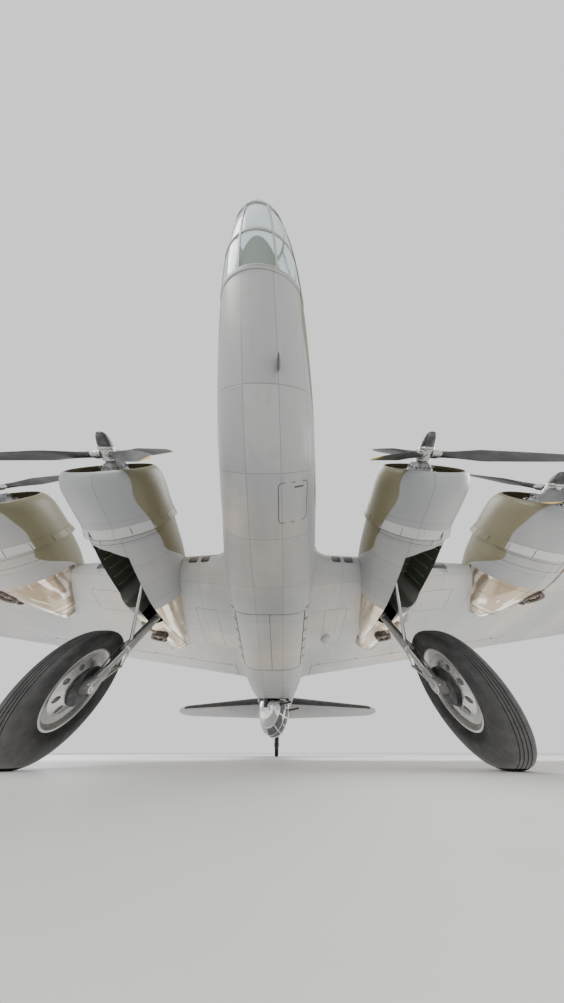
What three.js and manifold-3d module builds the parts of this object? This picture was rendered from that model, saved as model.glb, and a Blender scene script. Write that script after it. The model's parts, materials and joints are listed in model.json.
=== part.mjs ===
// Four-engine military aircraft of the 1940s, parked on its tail-wheel landing gear.
// Millimetres. Inside the airframe group x runs to the left wing tip, y runs aft from the nose tip
// (called s below), z runs up from the hull's middle line. The group leans back by GROUND_ANGLE.
import * as THREE from 'three';
import { mergeVertices } from 'three/addons/utils/BufferGeometryUtils.js';
import Module from 'manifold-3d';

const wasm = await Module();
wasm.setup();

const DEG = Math.PI / 180;
const GROUND_ANGLE = 8.2 * DEG;
const TOUCH = 0.3;          // gap between pieces that rest on each other
const SIDES = [['left', 1], ['right', -1]];

// Hull
const HULL_SIDES = 24;
const WALL = 50;
const GLASS = 12;
// s, half width, top, bottom, squareness of the lower half
const HULL = [
  [900, 640, 520, -760, 2],
  [1500, 770, 680, -890, 2],
  [2400, 930, 850, -1020, 2],
  [3200, 1030, 960, -1100, 2],
  [4200, 1110, 1080, -1160, 2.2],
  [5600, 1145, 1150, -1200, 3.4],
  [6590, 1145, 1157, -1200, 4],
  [9460, 1145, 1170, -1200, 4],
  [11500, 1130, 1150, -1180, 2.8],
  [13000, 1070, 1110, -1080, 2],
  [15000, 930, 1010, -860, 2],
  [17000, 750, 880, -620, 2],
  [18500, 610, 780, -430, 2],
  [20000, 470, 680, -230, 2],
  [21300, 370, 600, -60, 2],
  [22050, 300, 500, -10, 2],
  [22500, 170, 330, 60, 2],
];
const NOSE_END = 900;
const FRONT_END = 6590;
const BAY_END = 9460;
const REAR_END = 17400;
const CONE_END = 21300;
const HULL_END = 22500;
const BULKHEAD = 30;
const DOORWAY = { halfWidth: 250, low: -700, high: 700 };
// Blade mast under the nose: x, s, length, rake, then chord and thickness at its root and tip
const MAST = { x: 260, s: 1850, length: 300, rake: 60, root: [170, 34], tip: [90, 18] };
// Its section: share of the chord, share of the thickness
const MAST_SECTION = [[-0.5, 0], [-0.2, 0.5], [0.5, 0], [-0.2, -0.5]];

// Clear nose: s, radius, height of its centre
const NOSE = [
  [0, 70, -190],
  [90, 230, -185],
  [280, 390, -170],
  [560, 530, -145],
  [900, 640, -120],
];
const NOSE_WALL = 14;

// Cockpit hump: s, half width at its foot, half width at its top, top height
const HUMP = [
  [3000, 620, 380, 900],
  [3720, 800, 540, 1610],
  [4700, 820, 560, 1640],
  [5000, 820, 560, 1580],
  [6500, 760, 520, 1180],
];
const HUMP_WALL = 45;

// Wing
const WING = {
  root: 850, tip: 15815, roundFrom: 14400,
  leadingAtCentre: 5450, leadingSlope: 0.145,
  trailingAtCentre: 11240, trailingSlope: -0.06,
  heightAtCentre: -560, dihedralSlope: 0.0787,
  rootThickness: 0.18, tipThickness: 0.10,
  incidence: 3.5 * DEG, camber: 0.02, trailingHalf: 10,
};
const FLAP = { inner: 1350, outer: 8900, chordFrom: 0.84, split: 3, front: 14, side: 18, pin: 14 };
const AILERON = { inner: 9100, outer: 14300, hinge: 0.78, gap: 8, end: 26, pin: 15 };
// The wing's nose curves forward to meet the hull: where it starts, how far out and how far back it reaches
const FLARE = { from: 1120, reach: 420, share: 0.25 };
// Air intakes in the leading edge: from and to along the wing
const INTAKES = [[1620, 1860], [1950, 2220], [4350, 5150], [7360, 7560], [7720, 7920]];
const INTAKE = { half: 75, drop: 60, depth: 340 };
// Teardrop blisters under the wing: side, x, s
const BLISTERS = [[1, 4100, 7950], [-1, 4100, 7850], [1, 1650, 8500]];
const BLISTER_SIDES = 8;
// s from its fattest place, radius
const BLISTER_PROFILE = [[-240, 0], [-170, 85], [0, 135], [160, 90], [340, 0]];

// Tail
const TAILPLANE = {
  root: 100, tip: 6550, roundFrom: 5600, height: 350,
  leadingAtCentre: 17350, leadingSlope: 0.22,
  trailingAtCentre: 20750, trailingSlope: -0.09,
  rootThickness: 0.12, tipThickness: 0.09,
};
const ELEVATOR = { inner: 620, outer: 6100, hinge: 19450, gap: 8, pin: 15 };
// Fin: height, leading edge, trailing edge, thickness
const FIN = [
  [600, 11900, 21150, 380],
  [1150, 11950, 21250, 380],
  [1300, 13500, 21280, 370],
  [1640, 15200, 21300, 350],
  [2060, 16300, 21280, 320],
  [2700, 17100, 21230, 280],
  [3900, 18280, 21000, 200],
  [4350, 18750, 20850, 160],
  [4650, 19200, 20600, 110],
  [4770, 19650, 20300, 60],
];
const RUDDER = { low: 820, high: 4480, hinge: 19950, gap: 8, pin: 15 };

// Engines: name, distance from the middle, height, s of the cowl's lip
const ENGINES = [
  { name: 'inner', x: 3100, z: -430, lip: 3300 },
  { name: 'outer', x: 6650, z: -151, lip: 4100 },
];
const COWL_SIDES = 18;
const COWL_LENGTH = 1180;
// s behind the lip, radius: outside, then back along the inside
const COWL_OUTSIDE = [[0, 565], [70, 668], [300, 735], [1050, 742], [1230, 772]];
const COWL_INSIDE = [[90, 655], [300, 721], [1060, 728], [1228, 760]];
const SHAFT = 50;
const SHAFT_SIDES = 12;
const ENGINE_FACE = -129.7;
const CYLINDERS = 9;
// Propeller blade: radius, chord, thickness, twist in degrees
const BLADE = [
  [90, 120, 120, 60],
  [300, 124, 110, 54],
  [800, 290, 40, 38],
  [1450, 250, 22, 26],
  [1765, 80, 8, 23],
];
const BLADES = 3;
// Nacelle sections behind the cowl: s, half width, top and bottom from its own middle
const NACELLES = {
  inner: [
    [4480, 715, 700, -735],
    [5300, 725, 690, -790],
    [6200, 690, 640, -800],
    [7200, 610, 560, -720],
    [8200, 510, 430, -560],
    [9050, 400, 300, -430],
  ],
  outer: [
    [5280, 715, 700, -735],
    [6000, 700, 650, -760],
    [6600, 620, 560, -700],
    [7100, 500, 500, -600],
    [7700, 300, 420, -460],
    [8100, 60, 300, -330],
  ],
};
const NACELLE_SIDES = 18;

// Main gear. x values run outboard from the inner engine's middle
const WHEEL = { s: 6650, z: -2300, offset: 170, radius: 700, width: 460, sides: 20, axle: 55, bore: 56.2 };
const LEG = { offset: -170, topS: 7050, topZ: -960, upper: 100, lower: 72, trunnion: 45 };
const WELL = { low: -1500, roof: -520, slotIn: -310, slotOut: -60 };
// Outline of the well from below: x outboard, s
const WELL_OUTLINE = [
  [500, 4900], [420, 4740], [200, 4690], [-80, 4800], [WELL.slotIn, 5000], [WELL.slotIn, 7150],
  [WELL.slotOut, 7150], [WELL.slotOut, 6330], [120, 6400], [380, 6360], [500, 6200],
];

// Tail gear
const TAIL_WHEEL = { s: 18550, radius: 330, width: 200, sides: 16, axle: 22, bore: 22.9 };
const SWIVEL = { s: 18420, seat: -530, pin: 20 };
const TAIL_WELL = { halfWidth: 230, from: 17450, to: 18900, low: -900, roof: -150 };

// Belly ball and its yoke
const BALL = { s: 12150, z: -1270, radius: 560, hole: 665, azimuth: 62 * DEG, tip: 880, spread: 320 };
const YOKE = { arm: 600, armWidth: 40, bar: -620, hanger: -300, ringIn: 575, ringOut: 650, ringZ: -900 };

// Top dome
const DOME = { s: 5450, foot: 1640, radius: 470, height: 470, wall: 14, hole: 430, collar: 485 };

// Belly doors and the crew door
const BAY_DOOR = { from: 6700, to: 9350, inner: 6, outer: 856, wall: 45, hinge: 20, jamb: 16, end: 10, pin: 10 };
const CREW_DOOR = { from: 15600, to: 16350, low: -400, high: 620, gap: 10, out: 20, knuckle: 12, pin: 6 };
const WAIST = { from: 14000, to: 14900, low: -50, high: 750 };

const LOOKS = {
  grey: [0x8f9291, 0.55, 0.1],
  olive: [0x5a5a3c, 0.75, 0.0],
  glass: [0x9fb4bb, 0.1, 0.0],
  black: [0x1b1b1c, 0.6, 0.0],
  steel: [0xa9a8a2, 0.3, 1.0],
  burnt: [0x3a2f28, 0.6, 0.6],
  rubber: [0x202022, 0.9, 0.0],
  engine: [0x4b4d4e, 0.5, 0.6],
  green: [0x5c6b4a, 0.8, 0.0],
};
const materials = Object.fromEntries(Object.entries(LOOKS).map(([name, [color, roughness, metalness]]) =>
  [name, new THREE.MeshStandardMaterial({ color, roughness, metalness })]));

const root = new THREE.Group();
const airframe = new THREE.Group();
airframe.rotation.x = -GROUND_ANGLE;
root.add(airframe);

// Solids

function solidFrom(positions, indices) {
  const kept = [];
  let volume = 0;
  const a = new THREE.Vector3();
  const b = new THREE.Vector3();
  const c = new THREE.Vector3();
  for (let i = 0; i < indices.length; i += 3) {
    const [p, q, r] = [indices[i], indices[i + 1], indices[i + 2]];
    if (p === q || q === r || r === p) continue;
    kept.push(p, q, r);
    a.fromArray(positions, p * 3);
    b.fromArray(positions, q * 3);
    c.fromArray(positions, r * 3);
    volume += a.dot(b.cross(c));
  }
  if (volume < 0) kept.reverse();
  return new wasm.Manifold(new wasm.Mesh({
    numProp: 3,
    vertProperties: Float32Array.from(positions),
    triVerts: Uint32Array.from(kept),
  }));
}

function solid(geometry, matrix = new THREE.Matrix4()) {
  const bare = geometry.clone();
  bare.deleteAttribute('normal');
  bare.deleteAttribute('uv');
  const merged = mergeVertices(bare, 1e-3);
  merged.applyMatrix4(matrix);
  return solidFrom(merged.attributes.position.array, merged.index.array);
}

const join = (...bodies) => bodies.reduce((sum, body) => sum.add(body));
const cut = (body, ...tools) => tools.reduce((rest, tool) => rest.subtract(tool), body);
const common = (body, ...others) => others.reduce((rest, other) => rest.intersect(other), body);
const largest = (body) => body.decompose().sort((a, b) => b.volume() - a.volume())[0];

// A closed body through rings of equally many points. Point i pairs with the one facing it
function loft(rings) {
  const count = rings[0].length;
  const indices = [];
  rings.slice(1).forEach((ring, j) => {
    for (let i = 0; i < count; i += 1) {
      const a = j * count + i;
      const b = j * count + (i + 1) % count;
      indices.push(a, b, a + count, b, b + count, a + count);
    }
  });
  const last = (rings.length - 1) * count;
  for (let i = 0; i < count / 2 - 1; i += 1) {
    const [p, q, r, t] = [i, i + 1, count - 2 - i, count - 1 - i];
    indices.push(p, t, q, q, t, r);
    indices.push(last + p, last + q, last + t, last + q, last + r, last + t);
  }
  return solidFrom(rings.flat(2), indices);
}

function box([x0, y0, z0], [x1, y1, z1]) {
  const size = new THREE.BoxGeometry(Math.abs(x1 - x0), Math.abs(y1 - y0), Math.abs(z1 - z0));
  return solid(size, new THREE.Matrix4().makeTranslation((x0 + x1) / 2, (y0 + y1) / 2, (z0 + z1) / 2));
}

function rod(from, to, radius, sides = 16, endRadius = radius) {
  const start = new THREE.Vector3(...from);
  const end = new THREE.Vector3(...to);
  const along = end.clone().sub(start);
  const turn = new THREE.Quaternion().setFromUnitVectors(new THREE.Vector3(0, 1, 0), along.clone().normalize());
  const middle = start.clone().add(end).multiplyScalar(0.5);
  const matrix = new THREE.Matrix4().compose(middle, turn, new THREE.Vector3(1, 1, 1));
  return solid(new THREE.CylinderGeometry(endRadius, radius, along.length(), sides), matrix);
}

// A turned body about a line through centre. The profile is [distance along the line, radius]
function turned(profile, sides, centre, axis = 'y', phase = 0) {
  const points = profile.map(([along, radius]) => new THREE.Vector2(radius, along));
  if (profile[0][1] > 0) points.push(points[0].clone());
  const matrix = new THREE.Matrix4();
  if (axis === 'z') matrix.makeRotationX(Math.PI / 2);
  if (axis === 'x') matrix.makeRotationZ(-Math.PI / 2);
  matrix.setPosition(...centre);
  return solid(new THREE.LatheGeometry(points, sides, phase), matrix);
}

function prism(outline, low, high) {
  const shape = new THREE.Shape(outline.map(([x, y]) => new THREE.Vector2(x, y)));
  const geometry = new THREE.ExtrudeGeometry(shape, { depth: high - low, bevelEnabled: false });
  return solid(geometry, new THREE.Matrix4().makeTranslation(0, 0, low));
}

function tube(points, radius, sides = 10, steps = 14) {
  const path = new THREE.CatmullRomCurve3(points.map((point) => new THREE.Vector3(...point)));
  const section = new THREE.Shape();
  for (let i = 0; i < sides; i += 1) {
    const turn = (i / sides) * 2 * Math.PI;
    const place = [radius * Math.cos(turn), radius * Math.sin(turn)];
    if (i === 0) section.moveTo(...place);
    else section.lineTo(...place);
  }
  return solid(new THREE.ExtrudeGeometry(section, { steps, extrudePath: path, bevelEnabled: false }));
}

function piece(name, body, look, group = airframe) {
  const { vertProperties, triVerts } = body.getMesh();
  const geometry = new THREE.BufferGeometry();
  geometry.setAttribute('position', new THREE.BufferAttribute(vertProperties, 3));
  geometry.setIndex(new THREE.BufferAttribute(triVerts, 1));
  geometry.computeVertexNormals();
  const mesh = new THREE.Mesh(geometry, materials[look]);
  mesh.name = name;
  group.add(mesh);
  return mesh;
}

function groupAt(place, parent = airframe) {
  const group = new THREE.Group();
  group.position.set(...place);
  parent.add(group);
  return group;
}

// A row of the table at a value between two of its rows
function rowAt(table, value) {
  const next = Math.max(1, table.findIndex((row) => row[0] >= value));
  const [low, high] = [table[next - 1], table[next]];
  const share = (value - low[0]) / (high[0] - low[0]);
  return low.map((entry, i) => entry + (high[i] - entry) * share);
}

const stationsBetween = (table, from, to) =>
  [from, ...table.map((row) => row[0]).filter((s) => s > from && s < to), to];

// Hull

function ovalRing(s, x, halfWidth, top, bottom, sides, square = 2) {
  const middle = (top + bottom) / 2;
  const half = (top - bottom) / 2;
  return Array.from({ length: sides }, (_, i) => {
    const turn = ((i + 0.5) / sides) * 2 * Math.PI;
    const power = Math.sin(turn) < 0 ? 2 / square : 1;
    const across = Math.sign(Math.cos(turn)) * Math.abs(Math.cos(turn)) ** power;
    const up = Math.sign(Math.sin(turn)) * Math.abs(Math.sin(turn)) ** power;
    return [x + halfWidth * across, s, middle + half * up];
  });
}

function hullRing(s, inset = 0) {
  const [, halfWidth, top, bottom, square] = rowAt(HULL, Math.max(s, NOSE_END));
  return ovalRing(s, 0, halfWidth - inset, top - inset, bottom + inset, HULL_SIDES, square);
}

const hullBody = (from, to, inset = 0) =>
  loft(stationsBetween(HULL, from, to).map((s) => hullRing(s, inset)));

// Height of the hull's lower skin at a place
function hullFloor(s, x) {
  const lower = hullRing(s).filter((point) => point[2] < -100).sort((a, b) => a[0] - b[0]);
  const next = lower.findIndex((point) => point[0] >= x);
  const [a, b] = [lower[next - 1], lower[next]];
  return a[2] + (b[2] - a[2]) * (x - a[0]) / (b[0] - a[0]);
}

function humpBody(inset, from = HUMP[0][0]) {
  const foot = 500;
  const eave = 950;
  const slope = 110;
  const shoulder = 130;
  return loft(stationsBetween(HUMP, from, HUMP.at(-1)[0]).map((s) => {
    const [, base, crown, top] = rowAt(HUMP, s);
    const [b, c, t] = [base - inset, crown - inset, top - inset];
    const edge = Math.min(eave, t - slope - 20);
    const half = [[b, foot], [b, edge], [c, t - slope], [c - shoulder, t]];
    const mirrored = half.map(([x, z]) => [-x, z]).reverse();
    return [...half, ...mirrored].map(([x, z]) => [x, s, z]);
  }));
}

const doorway = (s) => box(
  [-DOORWAY.halfWidth, s - 2 * BULKHEAD, DOORWAY.low],
  [DOORWAY.halfWidth, s + 2 * BULKHEAD, DOORWAY.high],
);

// x from, x to, s from, s to, z from, z to
const bothSides = ([x0, x1, s0, s1, z0, z1]) =>
  SIDES.map(([, side]) => box([side * x0, s0, z0], [side * x1, s1, z1]));

const COCKPIT_WINDOWS = [
  [50, 330, 3100, 3800, 1130, 1500],
  [500, 900, 3780, 4230, 1130, 1480],
  [500, 900, 4310, 4720, 1130, 1480],
];
const NOSE_WINDOWS = [
  [500, 1000, 1500, 1950, -150, 250],
  [600, 1100, 2350, 2750, -150, 250],
];

function noseMast() {
  const skin = hullFloor(MAST.s, MAST.x);
  const ring = ([chord, thickness], back, z) => MAST_SECTION.map(([along, across]) =>
    [MAST.x + across * thickness, MAST.s + back + along * chord, z]);
  return loft([ring(MAST.root, 0, skin + WALL), ring(MAST.tip, MAST.rake, skin - MAST.length)]);
}

function frontHull() {
  const rear = FRONT_END - TOUCH;
  const outside = join(
    hullBody(NOSE_END, rear),
    humpBody(0),
    rod([0, DOME.s, 1000], [0, DOME.s, DOME.foot], DOME.collar, 18),
    noseMast(),
  );
  const inside = join(
    hullBody(NOSE_END - WALL, rear - BULKHEAD, WALL),
    humpBody(HUMP_WALL, 3060),
    rod([0, DOME.s, 1000], [0, DOME.s, DOME.foot + WALL], DOME.hole, 18),
    doorway(FRONT_END),
  );
  return cut(outside, inside, ...[...COCKPIT_WINDOWS, ...NOSE_WINDOWS].flatMap(bothSides));
}

function noseGlazing() {
  const ring = ([s, radius, z]) => ovalRing(s, 0, radius, z + radius, z - radius, HULL_SIDES);
  const outside = NOSE.map(([s, radius, z]) => [Math.min(s, NOSE_END - TOUCH), radius, z]);
  const inside = NOSE.map(([s, radius, z]) => [s + NOSE_WALL, radius - NOSE_WALL, z]);
  return cut(loft(outside.map(ring)), loft(inside.map(ring)));
}

function cockpitGlass() {
  const shell = cut(humpBody(HUMP_WALL + TOUCH, 3060), humpBody(HUMP_WALL + GLASS, 3060));
  const band = box([-1000, 3090, 1090], [1000, 4800, 2000]);
  const arch = box([-350, 3980, 900], [350, 5000, 2100]);
  return largest(cut(common(shell, band), arch));
}

function topDome() {
  const steps = 4;
  const arc = (radius, height) => Array.from({ length: steps + 1 }, (_, i) => {
    const turn = (i / steps) * Math.PI / 2;
    return [height * Math.sin(turn), i === steps ? 0 : radius * Math.cos(turn)];
  });
  const outside = arc(DOME.radius, DOME.height);
  const inside = arc(DOME.radius - DOME.wall, DOME.height - DOME.wall);
  const foot = DOME.foot + TOUCH;
  const whole = turned([[0, 0], ...outside], 18, [0, 0, 0], 'z');
  const hollow = turned([[-WALL, 0], [-WALL, DOME.radius - DOME.wall], ...inside], 18, [0, 0, 0], 'z');
  return [cut(whole, hollow), foot];
}

function cockpitFloor() {
  const low = -130;
  const high = -70;
  const plate = box([-1100, 3000, low], [1100, 6500, high]);
  const panel = box([-560, 3640, high - 1], [560, 3700, 900]);
  const seats = SIDES.flatMap(([, side]) => [
    box([side * 180, 4150, high - 1], [side * 620, 4600, 420]),
    box([side * 180, 4540, 400], [side * 620, 4640, 1050]),
  ]);
  const room = hullBody(NOSE_END - WALL, FRONT_END - TOUCH - BULKHEAD, WALL + TOUCH);
  const whole = common(join(plate, panel, ...seats), join(room, humpBody(HUMP_WALL + GLASS + 8, 3060)));
  return largest(whole);
}

function bayDoorCut(side) {
  const { from, to, outer, end, jamb } = BAY_DOOR;
  return box([0, from - end, -1400], [side * (outer + jamb), to + end, -700]);
}

function bayHinge(side) {
  const x = side * (BAY_DOOR.outer - BAY_DOOR.hinge);
  return [x, hullFloor(8000, Math.abs(x)) + BAY_DOOR.hinge];
}

function bayPins(side, radius, reach) {
  const [x, z] = bayHinge(side);
  const { from, to, end } = BAY_DOOR;
  return [
    rod([x, from + 60, z], [x, from - end - reach, z], radius, 12),
    rod([x, to - 60, z], [x, to + end + reach, z], radius, 12),
  ];
}

function baySection() {
  const front = FRONT_END;
  const rear = BAY_END - TOUCH;
  const room = hullBody(front + BULKHEAD, rear - BULKHEAD, WALL);
  const doors = SIDES.flatMap(([, side]) => [bayDoorCut(side), ...bayPins(side, BAY_DOOR.pin + 0.5, 34)]);
  const beam = common(box([-120, front, -760], [120, rear, -700]), hullBody(front, rear));
  return join(
    cut(hullBody(front, rear), room, doorway(front), doorway(rear), ...doors),
    cut(beam, box([-200, front, -800], [200, front + 5, -600])),
  );
}

function bayDoor(side) {
  const { from, to, inner, outer, wall, pin } = BAY_DOOR;
  const shell = cut(hullBody(FRONT_END, BAY_END), hullBody(FRONT_END - 50, BAY_END + 50, wall));
  const door = common(shell, box([side * inner, from, -1400], [side * outer, to, -700]));
  return join(largest(door), ...bayPins(side, pin, 30));
}

const crewAxis = () => {
  const [, halfWidth] = rowAt(HULL, CREW_DOOR.from - 10);
  return [-(halfWidth + CREW_DOOR.out), CREW_DOOR.from - 20];
};

function crewHingeLugs() {
  const [x, s] = crewAxis();
  const lug = (low, high) => box([x - 14, s - 30, low], [x + 60, s + 8, high]);
  return join(lug(60, 100), lug(170, 210), rod([x, s, 90], [x, s, 180], CREW_DOOR.pin, 12));
}

function crewDoor() {
  const { from, to, low, high, knuckle, pin } = CREW_DOOR;
  const [x, s] = crewAxis();
  const shell = cut(hullBody(15000, 17000), hullBody(14900, 17100, WALL));
  const panel = common(shell, box([-1500, from, low], [-200, to, high]));
  const arm = join(
    rod([x, s, 105], [x, s, 165], knuckle, 12),
    box([x - knuckle, s, 105], [x + 8, s + 60, 165]),
    box([x - knuckle, s + 26, 105], [x + 50, s + 60, 165]),
  );
  return cut(join(panel, arm), rod([x, s, 50], [x, s, 220], pin + 0.5, 12));
}

function rearHull() {
  const { from, to, low, high, gap } = CREW_DOOR;
  const room = hullBody(BAY_END + BULKHEAD, REAR_END - 60, WALL);
  const doorHole = box([-1500, from - gap, low - gap], [-200, to + gap, high + gap]);
  const windows = bothSides([300, 1500, WAIST.from, WAIST.to, WAIST.low, WAIST.high]);
  const ballHole = rod([0, BALL.s, -2000], [0, BALL.s, -500], BALL.hole, 24);
  const hanger = cut(
    rod([0, BALL.s, YOKE.hanger], [0, BALL.s, 1120], 60, 16),
    rod([0, BALL.s, YOKE.hanger - 10], [0, BALL.s, YOKE.hanger + 130], 30.6, 16),
  );
  const pad = rod([0, 17150, -620], [0, 17150, -540], 60, 16);
  const hull = hullBody(BAY_END, REAR_END - TOUCH);
  const shell = cut(join(hull, pad), room, doorway(BAY_END), doorHole, ...windows, ballHole);
  return join(shell, common(hanger, hull), crewHingeLugs());
}

function waistPane(side) {
  const shell = cut(hullBody(13500, 15500, 18), hullBody(13400, 15600, 18 + GLASS));
  const { from, to, low, high } = WAIST;
  const frame = box([side * 300, from + TOUCH, low + TOUCH], [side * 1500, to - TOUCH, high - TOUCH]);
  return common(shell, frame);
}

function tailCone() {
  const { halfWidth, from, to, low, roof } = TAIL_WELL;
  return cut(
    hullBody(REAR_END, CONE_END - TOUCH),
    box([-halfWidth, from, low], [halfWidth, to, roof]),
  );
}

// Lifting surfaces

// Half thickness of a section along its chord, 1 at the thickest place
const sectionShape = (f) =>
  10 * (0.2969 * Math.sqrt(f) - 0.126 * f - 0.3516 * f ** 2 + 0.2843 * f ** 3 - 0.1015 * f ** 4);
const SECTION_STEPS = 7;
const NOSE_SHARE = 0.0005;
const sectionShares = Array.from({ length: SECTION_STEPS + 1 }, (_, i) =>
  NOSE_SHARE + (1 - NOSE_SHARE) * (1 + Math.cos((Math.PI * i) / SECTION_STEPS)) / 2);

function camberShape(f) {
  const crest = 0.4;
  return f < crest
    ? (2 * crest * f - f * f) / crest ** 2
    : (1 - 2 * crest + 2 * crest * f - f * f) / (1 - crest) ** 2;
}

const tipInset = (x, from, tip) => (x <= from ? 0 : 1 - Math.sqrt(Math.max(0, 1 - ((x - from) / (tip - from)) ** 2)));

function wingAt(x) {
  const inset = tipInset(x, WING.roundFrom, WING.tip);
  const leading = WING.leadingAtCentre + WING.leadingSlope * x + 850 * inset;
  const trailing = WING.trailingAtCentre + WING.trailingSlope * x - 700 * inset;
  const share = WING.rootThickness + (WING.tipThickness - WING.rootThickness) * (x / WING.tip);
  const straight = WING.trailingAtCentre - WING.leadingAtCentre + (WING.trailingSlope - WING.leadingSlope) * x;
  const chord = (trailing - leading) / Math.cos(WING.incidence);
  return {
    chord,
    quarter: [leading + 0.25 * (trailing - leading), WING.heightAtCentre + WING.dihedralSlope * x],
    half: 0.5 * share * straight * (1 - 0.6 * inset),
    camber: WING.camber * straight * (1 - 0.6 * inset),
  };
}

// A place on the wing: share of the chord, and distance above the section's own middle line
function wingPoint(side, x, f, above) {
  const { chord, quarter, camber } = wingAt(x);
  const along = (f - 0.25) * chord;
  const up = camber * camberShape(Math.min(Math.max(f, 0), 1)) + above;
  const [sin, cos] = [Math.sin(WING.incidence), Math.cos(WING.incidence)];
  return [side * x, quarter[0] + along * cos + up * sin, quarter[1] - along * sin + up * cos];
}

const wingHalf = (x, f) => wingAt(x).half * sectionShape(f) + WING.trailingHalf * f;

// How far a point of the section moves forward where the wing meets the hull
function flareAt(x, f) {
  const left = Math.min(Math.max(1 - (x - FLARE.from) / FLARE.reach, 0), 1);
  return FLARE.reach * (1 - Math.sqrt(1 - left ** 2)) * Math.max(1 - f / FLARE.share, 0) ** 2;
}

function wingRing(side, x, grow = 0) {
  const stretch = 2 * grow / wingAt(x).chord;
  const place = (f, up) => {
    const [px, s, z] = wingPoint(side, x, f + stretch * (2 * f - 1), up * (wingHalf(x, f) + grow));
    return [px, s - flareAt(x, f), z];
  };
  const upper = sectionShares.map((f) => place(f, 1));
  const lower = sectionShares.map((f) => place(f, -1)).reverse();
  return [...upper, ...lower];
}

const FLARE_RINGS = [0, 0.25, 0.55, 1].map((share) => FLARE.from + share * FLARE.reach);
const WING_RINGS = [WING.root, ...FLARE_RINGS, 3100, 6650, 10500, WING.roundFrom, 14950, 15350, 15650, WING.tip];
const wingBody = (side, grow = 0) => loft(WING_RINGS.map((x) => wingRing(side, x, grow)));

// Outline of a hinged trailing part: a round nose on the hinge, then everything aft of it
function controlOutline(radius, reach) {
  const steps = 7;
  const nose = Array.from({ length: steps + 1 }, (_, i) => {
    const turn = Math.PI / 2 + (i / steps) * Math.PI;
    return [radius * Math.cos(turn), radius * Math.sin(turn)];
  });
  return [[reach, radius + 30], [2, radius + 30], ...nose, [2, -radius - 30], [reach, -radius - 30]];
}

function alongWing(side, x, f, [along, up]) {
  const origin = wingPoint(side, x, f, 0);
  const [sin, cos] = [Math.sin(WING.incidence), Math.cos(WING.incidence)];
  return [origin[0], origin[1] + along * cos + up * sin, origin[2] - along * sin + up * cos];
}

function aileronRegion(side, gap, extra) {
  const { inner, outer, hinge } = AILERON;
  return loft([inner - extra, (inner + outer) / 2, outer + extra].map((x) => {
    const radius = wingHalf(x, hinge) + gap;
    return controlOutline(radius, 1500).map((point) => alongWing(side, x, hinge, point));
  }));
}

function pinAlong(pointAt, from, to, radius) {
  return rod(pointAt(from), pointAt(to), radius, 12);
}

const aileronLine = (side) => {
  const a = wingPoint(side, AILERON.inner, AILERON.hinge, 0);
  const b = wingPoint(side, AILERON.outer, AILERON.hinge, 0);
  return (x) => a.map((value, i) => value + (b[i] - value) * (x - AILERON.inner) / (AILERON.outer - AILERON.inner));
};

function flapLine(side) {
  const place = (x) => wingPoint(side, x, FLAP.chordFrom + 0.003, -wingHalf(x, FLAP.chordFrom) + 22);
  const [a, b] = [place(FLAP.inner), place(FLAP.outer)];
  return (x) => a.map((value, i) => value + (b[i] - value) * (x - FLAP.inner) / (FLAP.outer - FLAP.inner));
}

// Everything behind the flap's front edge and below the section's middle line
function flapRegion(side, split, front, extra) {
  return loft([FLAP.inner - extra, 5000, FLAP.outer + extra].map((x) => {
    const chord = wingAt(x).chord;
    const from = FLAP.chordFrom - front / chord;
    return [[1.1, -split], [from, -split], [from, -900], [1.1, -900]].map(([f, above]) =>
      wingPoint(side, x, f, above));
  }));
}

function pinPair(line, low, high, inside, reach, radius) {
  return [
    pinAlong(line, low + inside, low - reach, radius),
    pinAlong(line, high - inside, high + reach, radius),
  ];
}

function flap(side) {
  const body = common(wingBody(side), flapRegion(side, FLAP.split, 0, 0));
  return join(body, ...pinPair(flapLine(side), FLAP.inner, FLAP.outer, 60, 70, FLAP.pin));
}

function aileron(side) {
  const body = common(wingBody(side), aileronRegion(side, 0, 0));
  return join(body, ...pinPair(aileronLine(side), AILERON.inner, AILERON.outer, 60, 96, AILERON.pin));
}

function wheelWell(side) {
  const { x } = ENGINES[0];
  return prism(WELL_OUTLINE.map(([out, s]) => [side * (x + out), s]), WELL.low, WELL.roof);
}

// Flat pads under and on the wing for jacks and hoists: x, share of the chord, up or down
const WING_PADS = [[4900, 0.3, -1], [1900, 0.3, 1]];
const PAD = { radius: 70, height: 30 };

function padFace(side, [x, f, up]) {
  const [, s, z] = wingPoint(side, x, f, up * wingHalf(x, f));
  return [side * x, s, z + up * PAD.height];
}

function wingPad(side, row) {
  const face = padFace(side, row);
  return rod([face[0], face[1], face[2] - row[2] * 150], face, PAD.radius, 16);
}

function intake(side, [from, to]) {
  const [low, high] = [from, to].map((x) => wingPoint(side, x, 0, 0));
  const lead = (low[1] + high[1]) / 2;
  const ring = (back) => [[low, -1], [high, -1], [high, 1], [low, 1]].map(([[x, , z], up]) =>
    [x, lead + back, z - INTAKE.drop + up * INTAKE.half]);
  return loft([ring(-INTAKE.depth), ring(INTAKE.depth)]);
}

function blisters(side) {
  return BLISTERS.filter((row) => row[0] === side).map(([, x, s]) => {
    const { chord, quarter } = wingAt(x);
    const f = 0.25 + (s - quarter[0]) / chord;
    const middle = wingPoint(side, x, f, -wingHalf(x, f));
    return turned(BLISTER_PROFILE, BLISTER_SIDES, middle, 'y', Math.PI / BLISTER_SIDES);
  });
}

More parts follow.
